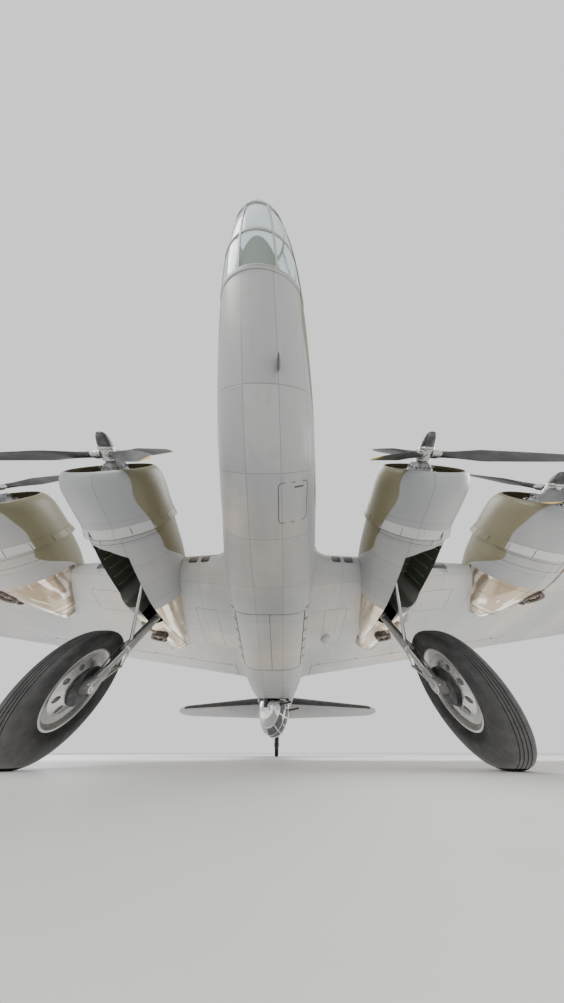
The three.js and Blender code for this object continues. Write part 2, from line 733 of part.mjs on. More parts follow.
function wing(side) {
  const hull = hullBody(NOSE_END, REAR_END, -TOUCH);
  const hole = 0.55;
  return largest(cut(
    join(wingBody(side), ...WING_PADS.map((row) => wingPad(side, row)), ...blisters(side)),
    hull,
    wheelWell(side),
    ...INTAKES.map((row) => intake(side, row)),
    flapRegion(side, -FLAP.split, FLAP.front, FLAP.side),
    aileronRegion(side, AILERON.gap, AILERON.end),
    ...pinPair(flapLine(side), FLAP.inner, FLAP.outer, 40, 74, FLAP.pin + hole),
    ...pinPair(aileronLine(side), AILERON.inner, AILERON.outer, 40, 100, AILERON.pin + hole),
  ));
}

// Tail surfaces

function tailplaneAt(x) {
  const inset = tipInset(x, TAILPLANE.roundFrom, TAILPLANE.tip);
  const straight = TAILPLANE.trailingAtCentre - TAILPLANE.leadingAtCentre
    + (TAILPLANE.trailingSlope - TAILPLANE.leadingSlope) * x;
  const share = TAILPLANE.rootThickness
    + (TAILPLANE.tipThickness - TAILPLANE.rootThickness) * (x / TAILPLANE.tip);
  return {
    leading: TAILPLANE.leadingAtCentre + TAILPLANE.leadingSlope * x + 700 * inset,
    trailing: TAILPLANE.trailingAtCentre + TAILPLANE.trailingSlope * x - 500 * inset,
    half: 0.5 * share * straight * (1 - 0.6 * inset),
  };
}

const TAIL_EDGE_HALF = 8;

function tailplaneHalf(x, s) {
  const { leading, trailing, half } = tailplaneAt(x);
  const f = (s - leading) / (trailing - leading);
  return half * sectionShape(f) + TAIL_EDGE_HALF * f;
}

function tailplaneRing(side, x) {
  const { leading, trailing } = tailplaneAt(x);
  const stations = sectionShares.map((f) => leading + f * (trailing - leading));
  const upper = stations.map((s) => [side * x, s, TAILPLANE.height + tailplaneHalf(x, s)]);
  const lower = stations.map((s) => [side * x, s, TAILPLANE.height - tailplaneHalf(x, s)]).reverse();
  return [...upper, ...lower];
}

const tailplaneBody = (side) =>
  loft([TAILPLANE.root, 3000, TAILPLANE.roundFrom, 6050, 6330, 6480, TAILPLANE.tip].map((x) =>
    tailplaneRing(side, x)));

function elevatorRegion(side, gap, extra) {
  const { inner, outer, hinge } = ELEVATOR;
  return loft([inner - extra, 3000, TAILPLANE.roundFrom, outer + extra].map((x) => {
    const radius = tailplaneHalf(x, hinge) + gap;
    return controlOutline(radius, 1800).map(([along, up]) => [side * x, hinge + along, TAILPLANE.height + up]);
  }));
}

const elevatorLine = (side) => (x) => [side * x, ELEVATOR.hinge, TAILPLANE.height];

function tailplane(side) {
  return largest(cut(
    tailplaneBody(side),
    hullBody(REAR_END - 500, CONE_END, -TOUCH),
    elevatorRegion(side, ELEVATOR.gap, ELEVATOR.gap),
    ...pinPair(elevatorLine(side), ELEVATOR.inner, ELEVATOR.outer, 40, 74, ELEVATOR.pin + 0.55),
  ));
}

function elevator(side) {
  return join(
    common(tailplaneBody(side), elevatorRegion(side, 0, 0)),
    ...pinPair(elevatorLine(side), ELEVATOR.inner, ELEVATOR.outer, 60, 70, ELEVATOR.pin),
  );
}

function finHalf(row, s) {
  const [, leading, trailing, thickness] = row;
  const f = (s - leading) / (trailing - leading);
  return 0.5 * thickness * sectionShape(f) + TAIL_EDGE_HALF * f;
}

const finBody = () => loft(FIN.map((row) => {
  const [z, leading, trailing] = row;
  const stations = sectionShares.map((f) => leading + f * (trailing - leading));
  const left = stations.map((s) => [finHalf(row, s), s, z]);
  const right = stations.map((s) => [-finHalf(row, s), s, z]).reverse();
  return [...left, ...right];
}));

function rudderRegion(gap, extra) {
  const { low, high, hinge } = RUDDER;
  return loft(stationsBetween(FIN, low - extra, high + extra).map((z) => {
    const radius = finHalf(rowAt(FIN, z), hinge) + gap;
    return controlOutline(radius, 1800).map(([along, across]) => [across, hinge + along, z]);
  }));
}

const rudderLine = (z) => [0, RUDDER.hinge, z];

function fin() {
  return largest(cut(
    finBody(),
    hullBody(BAY_END, HULL_END, -TOUCH),
    rudderRegion(RUDDER.gap, RUDDER.gap),
    ...pinPair(rudderLine, RUDDER.low, RUDDER.high, 40, 84, RUDDER.pin + 0.55),
  ));
}

function rudder() {
  return join(
    common(finBody(), rudderRegion(0, 0)),
    ...pinPair(rudderLine, RUDDER.low, RUDDER.high, 60, 80, RUDDER.pin),
  );
}

// Engines, each made about its own cowl's lip

function cowl() {
  return turned([...COWL_OUTSIDE, ...COWL_INSIDE.toReversed()], COWL_SIDES, [0, 0, 0]);
}

function engine() {
  const crank = turned([
    [-300, 0], [-300, SHAFT], [ENGINE_FACE, SHAFT], [ENGINE_FACE, 90], [-60, 170], [250, 260],
    [650, 260], [650, 300], [COWL_LENGTH - TOUCH, 300], [COWL_LENGTH - TOUCH, 0],
  ], SHAFT_SIDES, [0, 0, 0]);
  const places = Array.from({ length: CYLINDERS }, (_, i) => (i / CYLINDERS) * 2 * Math.PI);
  const cylinders = places.map((turn) => {
    const at = (radius) => [radius * Math.sin(turn), 430, radius * Math.cos(turn)];
    return rod(at(200), at(690), 120, 6);
  });
  const pads = [0, 120, 240].map((turn) => {
    const at = (radius) => [radius * Math.sin(turn * DEG), 430, radius * Math.cos(turn * DEG)];
    return rod(at(680), at(780), 50, 6);
  });
  const inside = [340, 700].map((s) => [s, rowAt(COWL_INSIDE, s)[1] - TOUCH]);
  const sleeve = turned([inside[0], [340, 900], [700, 900], inside[1]], COWL_SIDES, [0, 0, 0]);
  return cut(join(crank, ...cylinders, ...pads), sleeve);
}

function blade() {
  return loft(BLADE.map(([radius, chord, thickness, twist]) => {
    const [sin, cos] = [Math.sin(twist * DEG), Math.cos(twist * DEG)];
    return Array.from({ length: 8 }, (_, i) => {
      const turn = ((i + 0.5) / 8) * 2 * Math.PI;
      const along = 0.5 * chord * Math.cos(turn);
      const across = 0.5 * thickness * Math.sin(turn);
      return [-along * cos - across * sin, -along * sin + across * cos, radius];
    });
  }));
}

function propeller() {
  const middle = -250;
  const one = blade();
  const blades = Array.from({ length: BLADES }, (_, i) =>
    one.transform(new THREE.Matrix4().makeRotationY((i / BLADES) * 2 * Math.PI)
      .setPosition(0, middle, 0).elements));
  const hub = turned([
    [-660, 0], [-650, 50], [-540, 92], [-375, 120], [-130, 120], [-130, 0],
  ], 12, [0, 0, 0]);
  const bore = rod([0, -100, 0], [0, -330, 0], SHAFT + 0.9, SHAFT_SIDES);
  return cut(join(hub, ...blades), bore);
}

// Exhaust pipe and turbocharger in the nacelle's belly, made a little larger to cut its seat
function turbo(side, { name, x, z, lip }, grow) {
  const inner = name === 'inner';
  const centre = inner ? [side * (x + 20), 7900] : [side * (x + 240), lip + 2500];
  const [, , , belly] = rowAt(NACELLES[name], centre[1]);
  const start = [side * (x + 330), (inner ? 6560 : lip + 1260) - 2 * grow];
  const depth = z + belly;
  const drop = (s) => z + rowAt(NACELLES[name], s)[3];
  const bend = inner
    ? [[side * (x + 330), 6900], [side * (x + 250), 7200]]
    : [[side * (x + 320), lip + 1700], [side * (x + 290), lip + 2050]];
  const path = [start, ...bend, centre].map(([px, s]) => [px, s, drop(s) + (inner ? 70 : 60)]);
  const casing = turned([
    [-grow - 60, 0], [-grow - 60, 90], [-20 - grow, 120 + grow], [-20 - grow, 190 + grow],
    [20, 250 + grow], [190 + grow, 250 + grow], [190 + grow, 0],
  ], 16, [0, 0, 0], 'z');
  const seat = new THREE.Matrix4().makeTranslation(centre[0], centre[1], depth - 20);
  return join(casing.transform(seat.elements), tube(path, 85 + grow, 8, 8));
}

function nacelleRings(x, z, rows, grow = 0) {
  return rows.map(([s, halfWidth, top, bottom]) =>
    ovalRing(s, x, halfWidth + grow, z + top + grow, z + bottom - grow, NACELLE_SIDES));
}

function nacelle(side, row) {
  const { name, x, z } = row;
  const tools = [wingBody(side, 0.4), turbo(side, row, 0.4)];
  if (name === 'inner') tools.push(wheelWell(side));
  return largest(cut(loft(nacelleRings(side * x, z, NACELLES[name])), ...tools));
}

// Main gear

function mainLeg(side) {
  const hub = side * (ENGINES[0].x + LEG.offset);
  const wheel = side * (ENGINES[0].x + WHEEL.offset);
  const top = [hub, LEG.topS, LEG.topZ];
  const foot = [hub, WHEEL.s, WHEEL.z];
  const at = (share, out = 0) => top.map((value, i) => value + (foot[i] - value) * share + (i === 1 ? out : 0));
  const wellSide = (out) => side * (ENGINES[0].x + out);
  const shoulder = wheel - side * (WHEEL.width / 2 - 60 + TOUCH);
  const strutTop = [hub, 5650, -860];
  return join(
    rod([wellSide(WELL.slotIn) + side * TOUCH, LEG.topS, LEG.topZ],
      [wellSide(WELL.slotOut) - side * TOUCH, LEG.topS, LEG.topZ], LEG.trunnion, 12),
    rod(top, at(0.62), LEG.upper, 12),
    rod(at(0.6), at(1.0), LEG.lower, 12),
    rod(at(0.55), strutTop, 34, 8),
    rod(strutTop, [hub, 5650, WELL.roof - TOUCH], 42, 8),
    rod(at(0.6, 60), at(0.76, 210), 24, 6),
    rod(at(0.76, 210), at(0.94, 50), 24, 6),
    rod([hub - side * 80, WHEEL.s, WHEEL.z], [shoulder, WHEEL.s, WHEEL.z], 95, 12),
    rod(foot, [wheel + side * 190, WHEEL.s, WHEEL.z], WHEEL.axle, 12),
  );
}

// Wheels stand square to the ground, so a flat of each tyre meets it
function wheelGroup(place) {
  const group = groupAt(place);
  group.rotation.x = GROUND_ANGLE;
  return group;
}

function tyre({ radius, width, sides }, inner) {
  const half = width / 2;
  const profile = [
    [-half * 0.62, inner], [-half, inner + (radius - inner) * 0.45],
    [-half * 0.84, radius * 0.93], [-half * 0.4, radius], [half * 0.4, radius], [half * 0.84, radius * 0.93],
    [half, inner + (radius - inner) * 0.45], [half * 0.62, inner],
  ];
  return turned(profile, sides, [0, 0, 0], 'x', Math.PI / sides);
}

function rim({ width, sides, bore }, outer, hub) {
  const half = width / 2;
  const edge = half * 0.6;
  const body = turned([
    [-hub, bore], [-hub, outer * 0.34], [-edge * 0.45, outer * 0.78],
    [-edge, outer], [edge, outer],
    [edge * 0.45, outer * 0.78], [hub, outer * 0.34], [hub, bore],
  ], sides, [0, 0, 0], 'x', Math.PI / sides);
  return body;
}

// Tail gear

const [groundSin, groundCos] = [Math.sin(GROUND_ANGLE), Math.cos(GROUND_ANGLE)];
const flatRadius = ({ radius, sides }) => radius * Math.cos(Math.PI / sides);
const mainGround = -WHEEL.s * groundSin + WHEEL.z * groundCos - flatRadius(WHEEL);
const tailWheelZ = (mainGround + flatRadius(TAIL_WHEEL) + TAIL_WHEEL.s * groundSin) / groundCos;

function tailStrut() {
  const above = TAIL_WELL.roof + 60;
  const seat = [0, SWIVEL.s, SWIVEL.seat];
  const roof = box([-400, 17000, TAIL_WELL.roof - TOUCH], [400, 19500, above + 200]);
  return cut(join(
    rod([0, 18310, above], [0, SWIVEL.s, SWIVEL.seat + 60], 55, 12),
    rod([0, 17760, above], [0, SWIVEL.s - 20, SWIVEL.seat + 120], 32, 8),
    rod([0, SWIVEL.s, SWIVEL.seat + 110], seat, 70, 12),
    rod([0, SWIVEL.s, SWIVEL.seat + 10], [0, SWIVEL.s, SWIVEL.seat - 60], SWIVEL.pin, 12),
  ), roof);
}

function tailFork() {
  const top = SWIVEL.seat - TOUCH;
  const [inside, outside] = [112, 142];
  const block = box([-outside, SWIVEL.s - 75, top - 70], [outside, SWIVEL.s + 75, top]);
  const arms = SIDES.map(([, side]) => loft([
    [side * inside, SWIVEL.s - 60, SWIVEL.s + 75, top - 60, 0],
    [side * outside, SWIVEL.s - 60, SWIVEL.s + 75, top - 60, 0],
  ].map(([x, front, back, z]) => [
    [x, front, z], [x, TAIL_WHEEL.s - 45, tailWheelZ], [x, TAIL_WHEEL.s - 30, tailWheelZ - 40],
    [x, TAIL_WHEEL.s + 30, tailWheelZ - 40], [x, TAIL_WHEEL.s + 45, tailWheelZ], [x, back, z],
  ])));
  const axle = rod([-outside, TAIL_WHEEL.s, tailWheelZ], [outside, TAIL_WHEEL.s, tailWheelZ], TAIL_WHEEL.axle, 12);
  const hole = rod([0, SWIVEL.s, top + 10], [0, SWIVEL.s, top - 90], SWIVEL.pin + 0.9, 12);
  return cut(join(block, ...arms, axle), hole);
}

// Belly ball

function yoke() {
  const { arm, armWidth, bar, hanger, ringIn, ringOut, ringZ } = YOKE;
  const level = (z) => z - BALL.z;
  const outer = arm + armWidth;
  const ring = turned([
    [level(ringZ) - 12, ringIn], [level(ringZ) - 12, ringOut], [level(ringZ) + 12, ringOut],
    [level(ringZ) + 12, ringIn],
  ], 24, [0, 0, 0], 'z');
  const arms = SIDES.map(([, side]) => join(
    box([side * arm, -70, -80], [side * outer, 70, level(bar) + 30]),
    rod([side * (arm + 5), 0, 0], [side * (arm - 90), 0, 0], 30, 24),
  ));
  return join(
    ring,
    box([-outer, -70, level(bar) - 30], [outer, 70, level(bar) + 30]),
    rod([0, 0, level(bar)], [0, 0, level(hanger) - TOUCH], 60, 16),
    rod([0, 0, level(hanger) - 20], [0, 0, level(hanger) + 120], 30, 16),
    ...arms,
  );
}

function ball() {
  const sphere = solid(new THREE.SphereGeometry(BALL.radius, 18, 11));
  const flat = YOKE.arm - 20;
  const bosses = SIDES.map(([, side]) => rod([side * 400, 0, 0], [side * flat, 0, 0], 90, 12));
  const holes = SIDES.map(([, side]) => rod([side * 490, 0, 0], [side * 620, 0, 0], 30.9, 24));
  const barrels = SIDES.map(([, side]) =>
    rod([side * BALL.spread, -200, 0], [side * BALL.spread, -BALL.tip, 0], 22, 8));
  return cut(join(sphere, ...bosses, ...barrels), ...holes);
}

// Assembly

piece('nose_glazing', noseGlazing(), 'glass');
piece('fuselage_front', frontHull(), 'grey');
piece('fuselage_bay', baySection(), 'grey');
piece('fuselage_rear', rearHull(), 'grey');
piece('tail_cone', tailCone(), 'grey');
piece('tail_glazing', hullBody(CONE_END, HULL_END), 'glass');
piece('cockpit_glass', cockpitGlass(), 'glass');
piece('cockpit_floor', cockpitFloor(), 'green');
const [dome, domeFoot] = topDome();
piece('top_dome', dome, 'glass', groupAt([0, DOME.s, domeFoot]));
piece('crew_door', crewDoor(), 'grey');
piece('fin', fin(), 'olive');
piece('rudder', rudder(), 'olive');
piece('tail_strut', tailStrut(), 'steel');
piece('tail_fork', tailFork(), 'steel');

for (const [name, side] of SIDES) {
  piece(`bay_door_${name}`, bayDoor(side), 'grey');
  piece(`waist_pane_${name}`, waistPane(side), 'glass');
  piece(`wing_${name}`, wing(side), 'grey');
  piece(`flap_${name}`, flap(side), 'grey');
  piece(`aileron_${name}`, aileron(side), 'grey');
  piece(`tailplane_${name}`, tailplane(side), 'grey');
  piece(`elevator_${name}`, elevator(side), 'grey');
  piece(`main_leg_${name}`, mainLeg(side), 'steel');
  const wheel = wheelGroup([side * (ENGINES[0].x + WHEEL.offset), WHEEL.s, WHEEL.z]);
  piece(`tyre_${name}`, tyre(WHEEL, 420), 'rubber', wheel);
  piece(`rim_${name}`, rim(WHEEL, 420 - TOUCH, WHEEL.width / 2 - 60), 'steel', wheel);
  for (const row of ENGINES) {
    const label = `${row.name}_${name}`;
    const mount = groupAt([side * row.x, row.lip, row.z]);
    piece(`nacelle_${label}`, nacelle(side, row), 'grey');
    piece(`turbo_${label}`, turbo(side, row, 0), 'burnt');
    piece(`cowl_${label}`, cowl(), 'grey', mount);
    piece(`engine_${label}`, engine(), 'engine', mount);
    piece(`propeller_${label}`, propeller(), 'black', mount);
  }
}

const tailWheel = wheelGroup([0, TAIL_WHEEL.s, tailWheelZ]);
piece('tail_tyre', tyre(TAIL_WHEEL, 190), 'rubber', tailWheel);
piece('tail_rim', rim(TAIL_WHEEL, 190 - TOUCH, 111.7), 'steel', tailWheel);

const turret = groupAt([0, BALL.s, BALL.z]);
turret.rotation.z = BALL.azimuth;
piece('ball_yoke', yoke(), 'black', turret);
piece('belly_ball', ball(), 'steel', turret);

// The origin is the middle of the whole aircraft's box, on the ground
root.updateMatrixWorld(true);
const bounds = new THREE.Box3().setFromObject(root, true);
const middle = bounds.getCenter(new THREE.Vector3());
root.position.set(-middle.x, -middle.y, -bounds.min.z);
root.updateMatrixWorld(true);

export default root;
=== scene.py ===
# Looks of a parked four-engine aircraft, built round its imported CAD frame.
# Metres. Shapes are made in the airframe's level frame: x to the left wing tip, s aft of the nose,
# z up from the hull's middle line. TO_WORLD then leans them back onto the frame.
import json
import math
import bmesh
import bpy
import numpy as np
from mathutils import Matrix, Vector

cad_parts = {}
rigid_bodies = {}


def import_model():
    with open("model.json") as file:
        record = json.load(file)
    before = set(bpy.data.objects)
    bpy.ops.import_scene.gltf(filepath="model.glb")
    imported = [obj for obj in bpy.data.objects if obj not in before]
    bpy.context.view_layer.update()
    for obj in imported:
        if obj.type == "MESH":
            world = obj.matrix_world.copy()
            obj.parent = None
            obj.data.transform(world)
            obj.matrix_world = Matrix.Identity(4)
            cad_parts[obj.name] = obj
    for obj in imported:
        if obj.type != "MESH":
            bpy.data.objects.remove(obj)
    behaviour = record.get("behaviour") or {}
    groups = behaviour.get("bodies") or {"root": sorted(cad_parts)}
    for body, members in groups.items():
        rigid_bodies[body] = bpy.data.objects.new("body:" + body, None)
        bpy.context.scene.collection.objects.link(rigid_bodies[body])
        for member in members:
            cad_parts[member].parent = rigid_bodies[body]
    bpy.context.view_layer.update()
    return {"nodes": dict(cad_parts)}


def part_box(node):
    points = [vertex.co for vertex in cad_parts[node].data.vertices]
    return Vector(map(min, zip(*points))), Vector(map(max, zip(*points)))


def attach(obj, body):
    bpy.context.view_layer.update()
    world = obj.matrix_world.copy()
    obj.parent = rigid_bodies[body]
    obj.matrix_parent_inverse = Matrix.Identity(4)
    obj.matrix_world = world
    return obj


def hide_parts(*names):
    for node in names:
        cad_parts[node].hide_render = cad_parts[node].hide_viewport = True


for item in list(bpy.data.objects):
    bpy.data.objects.remove(item)
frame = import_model()

SIDES = (("left", 1), ("right", -1))
LEAN = math.radians(8.2)
WHEEL_X, WHEEL_S, WHEEL_Z = 3.27, 6.65, -2.30

tyre_low, tyre_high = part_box("tyre_left")
LEAN_TURN = Matrix.Rotation(-LEAN, 4, "X")
FRAME_START = (tyre_low + tyre_high) / 2 - LEAN_TURN @ Vector((WHEEL_X, WHEEL_S, WHEEL_Z))
TO_WORLD = Matrix.Translation(FRAME_START) @ LEAN_TURN
TO_LEVEL = TO_WORLD.inverted()

# Sizes repeated from the CAD model

# s, half width, top, bottom, squareness of the lower half
HULL = [
    (0.28, 0.39, 0.22, -0.56, 2), (0.56, 0.53, 0.385, -0.675, 2), (0.90, 0.64, 0.52, -0.76, 2),
    (1.50, 0.77, 0.68, -0.89, 2), (2.40, 0.93, 0.85, -1.02, 2), (3.20, 1.03, 0.96, -1.10, 2),
    (4.20, 1.11, 1.08, -1.16, 2.2), (5.60, 1.145, 1.15, -1.20, 3.4), (6.59, 1.145, 1.157, -1.20, 4),
    (9.46, 1.145, 1.17, -1.20, 4), (11.5, 1.13, 1.15, -1.18, 2.8), (13.0, 1.07, 1.11, -1.08, 2),
    (15.0, 0.93, 1.01, -0.86, 2), (17.0, 0.75, 0.88, -0.62, 2), (18.5, 0.61, 0.78, -0.43, 2),
    (20.0, 0.47, 0.68, -0.23, 2), (21.3, 0.37, 0.60, -0.06, 2), (22.05, 0.30, 0.50, -0.01, 2),
    (22.5, 0.17, 0.33, 0.06, 2),
]
NOSE_END, FRONT_END, BAY_END, REAR_END, CONE_END, HULL_END = 0.9, 6.59, 9.46, 17.4, 21.3, 22.5
WALL = 0.05
# Clear nose: s, radius, height of its centre
NOSE = [(0.0, 0.0, -0.19), (0.09, 0.23, -0.185), (0.28, 0.39, -0.17), (0.56, 0.53, -0.145),
        (0.9, 0.64, -0.12)]
# Cockpit hump: s, half width at its foot, half width at its top, top height
HUMP = [(3.0, 0.62, 0.38, 0.90), (3.72, 0.80, 0.54, 1.61), (4.7, 0.82, 0.56, 1.64), (5.0, 0.82, 0.56, 1.58),
        (6.56, 0.68, 0.42, 1.13)]
# Fin: height, leading edge, trailing edge, thickness
FIN = [(0.60, 11.90, 21.15, 0.38), (1.15, 11.95, 21.25, 0.38), (1.30, 13.50, 21.28, 0.37),
       (1.64, 15.20, 21.30, 0.35), (2.06, 16.30, 21.28, 0.32), (2.70, 17.10, 21.23, 0.28),
       (3.90, 18.28, 21.00, 0.20), (4.35, 18.75, 20.85, 0.16), (4.65, 19.20, 20.60, 0.11),
       (4.77, 19.65, 20.30, 0.06)]
# Engine: name, distance from the middle, height, s of the cowl's lip
ENGINES = (("inner", 3.1, -0.43, 3.3), ("outer", 6.65, -0.151, 4.1))
# Nacelle: s, half width, top and bottom from its own middle
NACELLES = {
    "inner": [(4.48, 0.715, 0.70, -0.735), (5.3, 0.725, 0.69, -0.79), (6.2, 0.69, 0.64, -0.80),
              (7.2, 0.61, 0.56, -0.72), (8.2, 0.51, 0.43, -0.56), (9.05, 0.40, 0.30, -0.43)],
    "outer": [(5.28, 0.715, 0.70, -0.735), (6.0, 0.70, 0.65, -0.76), (6.6, 0.62, 0.56, -0.70),
              (7.1, 0.50, 0.50, -0.60), (7.7, 0.30, 0.42, -0.46), (8.1, 0.06, 0.30, -0.33)],
}
# Propeller blade: radius, chord, thickness, twist in degrees
BLADE = [(0.09, 0.12, 0.12, 60), (0.30, 0.124, 0.11, 54), (0.55, 0.20, 0.07, 46), (0.80, 0.29, 0.04, 38),
         (1.10, 0.286, 0.03, 31), (1.45, 0.25, 0.022, 26), (1.665, 0.19, 0.014, 24), (1.765, 0.08, 0.008, 23)]
WELL_OUTLINE = [(0.5, 4.9), (0.42, 4.74), (0.2, 4.69), (-0.08, 4.8), (-0.31, 5.0), (-0.31, 7.15),
                (-0.06, 7.15), (-0.06, 6.33), (0.12, 6.4), (0.38, 6.36), (0.5, 6.2)]
WELL_LOW, WELL_ROOF = -1.5, -0.52
BALL_S, BALL_Z, BALL_RADIUS, BALL_AZIMUTH = 12.15, -1.27, 0.56, math.radians(62)


# Shapes are pairs: points as an array, and faces as tuples of their numbers

def curve(table, at):
    """Columns of a table at new values of its first column, on a smooth line with no overshoot."""
    table = np.asarray(table, float)
    at = np.atleast_1d(np.asarray(at, float))
    x, y = table[:, 0], table[:, 1:]
    step = np.diff(x)[:, None]
    slope = np.diff(y, axis=0) / step
    tangent = np.empty_like(y)
    tangent[0], tangent[-1] = slope[0], slope[-1]
    before, after = slope[:-1], slope[1:]
    same = before * after > 0
    weight_a, weight_b = 2 * step[1:] + step[:-1], step[1:] + 2 * step[:-1]
    with np.errstate(divide="ignore", invalid="ignore"):
        mean = (weight_a + weight_b) / (weight_a / before + weight_b / after)
    tangent[1:-1] = np.where(same, mean, 0)
    i = np.clip(np.searchsorted(x, at) - 1, 0, len(x) - 2)
    h = step[i]
    t = ((at - x[i])[:, None]) / h
    return ((2 * t**3 - 3 * t**2 + 1) * y[i] + (t**3 - 2 * t**2 + t) * h * tangent[i]
            + (3 * t**2 - 2 * t**3) * y[i + 1] + (t**3 - t**2) * h * tangent[i + 1])


def outward(points, faces):
    """The shape with its faces turned so that it holds a positive volume."""
    volume = 0.0
    for face in faces:
        first = points[face[0]]
        for a, b in zip(face[1:-1], face[2:]):
            volume += first @ np.cross(points[a], points[b])
    return points, [tuple(reversed(f)) for f in faces] if volume < 0 else faces


def loft(rings, loop=False):
    """A closed body through rings of equally many points; with loop the last ring meets the first."""
    rings = np.asarray(rings, float)
    rows, sides = rings.shape[:2]
    faces = []
    for j in range(rows if loop else rows - 1):
        a, b = j * sides, (j + 1) % rows * sides
        faces += [(a + i, a + (i + 1) % sides, b + (i + 1) % sides, b + i) for i in range(sides)]
    if not loop:
        faces.append(tuple(range(sides - 1, -1, -1)))
        faces.append(tuple(range((rows - 1) * sides, rows * sides)))
    return outward(rings.reshape(-1, 3), faces)


def joined(*shapes):
    points, faces, start = [], [], 0
    for some_points, some_faces in shapes:
        points.append(some_points)
        faces += [tuple(i + start for i in face) for face in some_faces]
        start += len(some_points)
    return np.vstack(points), faces


def placed(shape, matrix):
    m = np.array(matrix)
    return outward(shape[0] @ m[:3, :3].T + m[:3, 3], shape[1])


def moved(shape, s=0.0, z=0.0):
    return shape[0] + np.array((0.0, s, z)), shape[1]


def around(count):
    """Angles spread evenly over a full turn."""
    return np.linspace(0, 2 * math.pi, count, endpoint=False)


def half_steps(count):
    """Angles over a full turn that start half a step in."""
    return (np.arange(count) + 0.5) / count * 2 * math.pi


def places(x, s, z):
    """Points from x, s and z, each one value or an array."""
    return np.stack(np.broadcast_arrays(x, s, z), axis=-1)


def turned(profile, sides, axis="y", phase=0.0):
    """A body turned about an axis through the origin. The profile is (distance along it, radius)."""
    profile = np.asarray(profile, float)
    turn = around(sides) + phase
    rings = np.empty((sides, len(profile), 3))
    along, radius = profile.T
    order = {"x": (0, 1, 2), "y": (1, 2, 0), "z": (2, 0, 1)}[axis]
    rings[..., order[0]] = along
    rings[..., order[1]] = radius * np.cos(turn)[:, None]
    rings[..., order[2]] = radius * np.sin(turn)[:, None]
    return loft(rings, loop=True)


def line_frame(start, end):
    """A matrix that lays z along a line from its start, and the length of the line."""
    start, end = Vector(start), Vector(end)
    along = end - start
    return Matrix.Translation(start) @ along.to_track_quat("Z", "Y").to_matrix().to_4x4(), along.length


def rod(start, end, radius, end_radius=None, sides=24, edge=0.0):
    """A round bar, with its rims rounded off by edge."""
    matrix, length = line_frame(start, end)
    other = radius if end_radius is None else end_radius
    cut = min(edge, radius * 0.5, other * 0.5, length * 0.4)
    profile = [(0, 0), (0, radius), (length, other), (length, 0)]
    if cut > 0:
        profile[1:3] = [(0, radius - cut), (cut, radius), (length - cut, other), (length, other - cut)]
    return placed(turned(profile, sides, "z"), matrix)


def post(x, s, low, high, *sizes, **more):
    """A rod that stands along z."""
    return rod((x, s, low), (x, s, high), *sizes, **more)


def axle(x0, x1, s, z, *sizes, **more):
    """A rod that lies along x."""
    return rod((x0, s, z), (x1, s, z), *sizes, **more)


def block(low, high, edge=0.0):
    """A box with its edges taken off by edge."""
    (x0, y0, z0), (x1, y1, z1) = np.minimum(low, high), np.maximum(low, high)
    if edge <= 0:
        return loft([[(x0, y0, z), (x1, y0, z), (x1, y1, z), (x0, y1, z)] for z in (z0, z1)])
    rings = []
    for inset, z in ((edge, z0), (0, z0 + edge), (0, z1 - edge), (edge, z1)):
        a, b, c, d = x0 + inset, x1 - inset, y0 + inset, y1 - inset
        ring = [(a + edge, c), (b - edge, c), (b, c + edge), (b, d - edge),
                (b - edge, d), (a + edge, d), (a, d - edge), (a, c + edge)]
        rings.append([(x, y, z) for x, y in ring])
    return loft(rings)


def rounded(corners, radius, steps=5):
    """A closed outline with each corner as an arc, which takes up less than half of a side."""
    most = 0.45
    corners = [Vector(c) for c in corners]
    outline = []
    for i, corner in enumerate(corners):
        back, ahead = corners[i - 1] - corner, corners[(i + 1) % len(corners)] - corner
        a, b = back.normalized(), ahead.normalized()
        reach = min(radius / math.tan(a.angle(b) / 2), most * back.length, most * ahead.length)
        for t in np.linspace(0, 1, steps + 1):
            outline.append(tuple(corner + a * reach * (1 - t) ** 2 + b * reach * t**2))
    return outline


def prism(outline, axis, low, high):
    """An outline pulled along an axis. Its two values are the other axes in the order x, s, z."""
    spots = {"x": (1, 2, 0), "y": (0, 2, 1), "z": (0, 1, 2)}[axis]
    rings = np.empty((2, len(outline), 3))
    flat = np.asarray(outline, float)
    for ring, level in zip(rings, (low, high)):
        ring[:, spots[0]], ring[:, spots[1]], ring[:, spots[2]] = flat[:, 0], flat[:, 1], level
    return loft(rings)


def window(axis, a, b, c, d, low, high, radius=0.06):
    """A prism with rounded corners, from a to b and c to d across the axis."""
    return prism(rounded([(a, c), (b, c), (b, d), (a, d)], radius), axis, low, high)


def spline(points, steps):
    """Points on a smooth line through the given ones, evenly spread."""
    points = np.asarray(points, float)
    gaps = np.r_[0, np.cumsum(np.linalg.norm(np.diff(points, axis=0), axis=1))]
    return curve(np.column_stack((gaps, points)), np.linspace(0, gaps[-1], steps))


def tube(points, radius, sides, steps):
    """A round body along a smooth line, of one radius or of several in turn."""
    path = spline(points, steps)
    radii = np.full(steps, radius) if np.isscalar(radius) else np.interp(
        np.linspace(0, 1, steps), np.linspace(0, 1, len(radius)), radius)
    along = np.gradient(path, axis=0)
    along /= np.linalg.norm(along, axis=1)[:, None]
    side = np.cross(along[0], (0.3, 0.2, 0.93))
    rings = []
    turn = around(sides)
    for place, ahead, r in zip(path, along, radii):
        side = side - ahead * (side @ ahead)
        side /= np.linalg.norm(side)
        up = np.cross(ahead, side)
        rings.append(place + r * (np.cos(turn)[:, None] * side + np.sin(turn)[:, None] * up))
    return loft(rings)


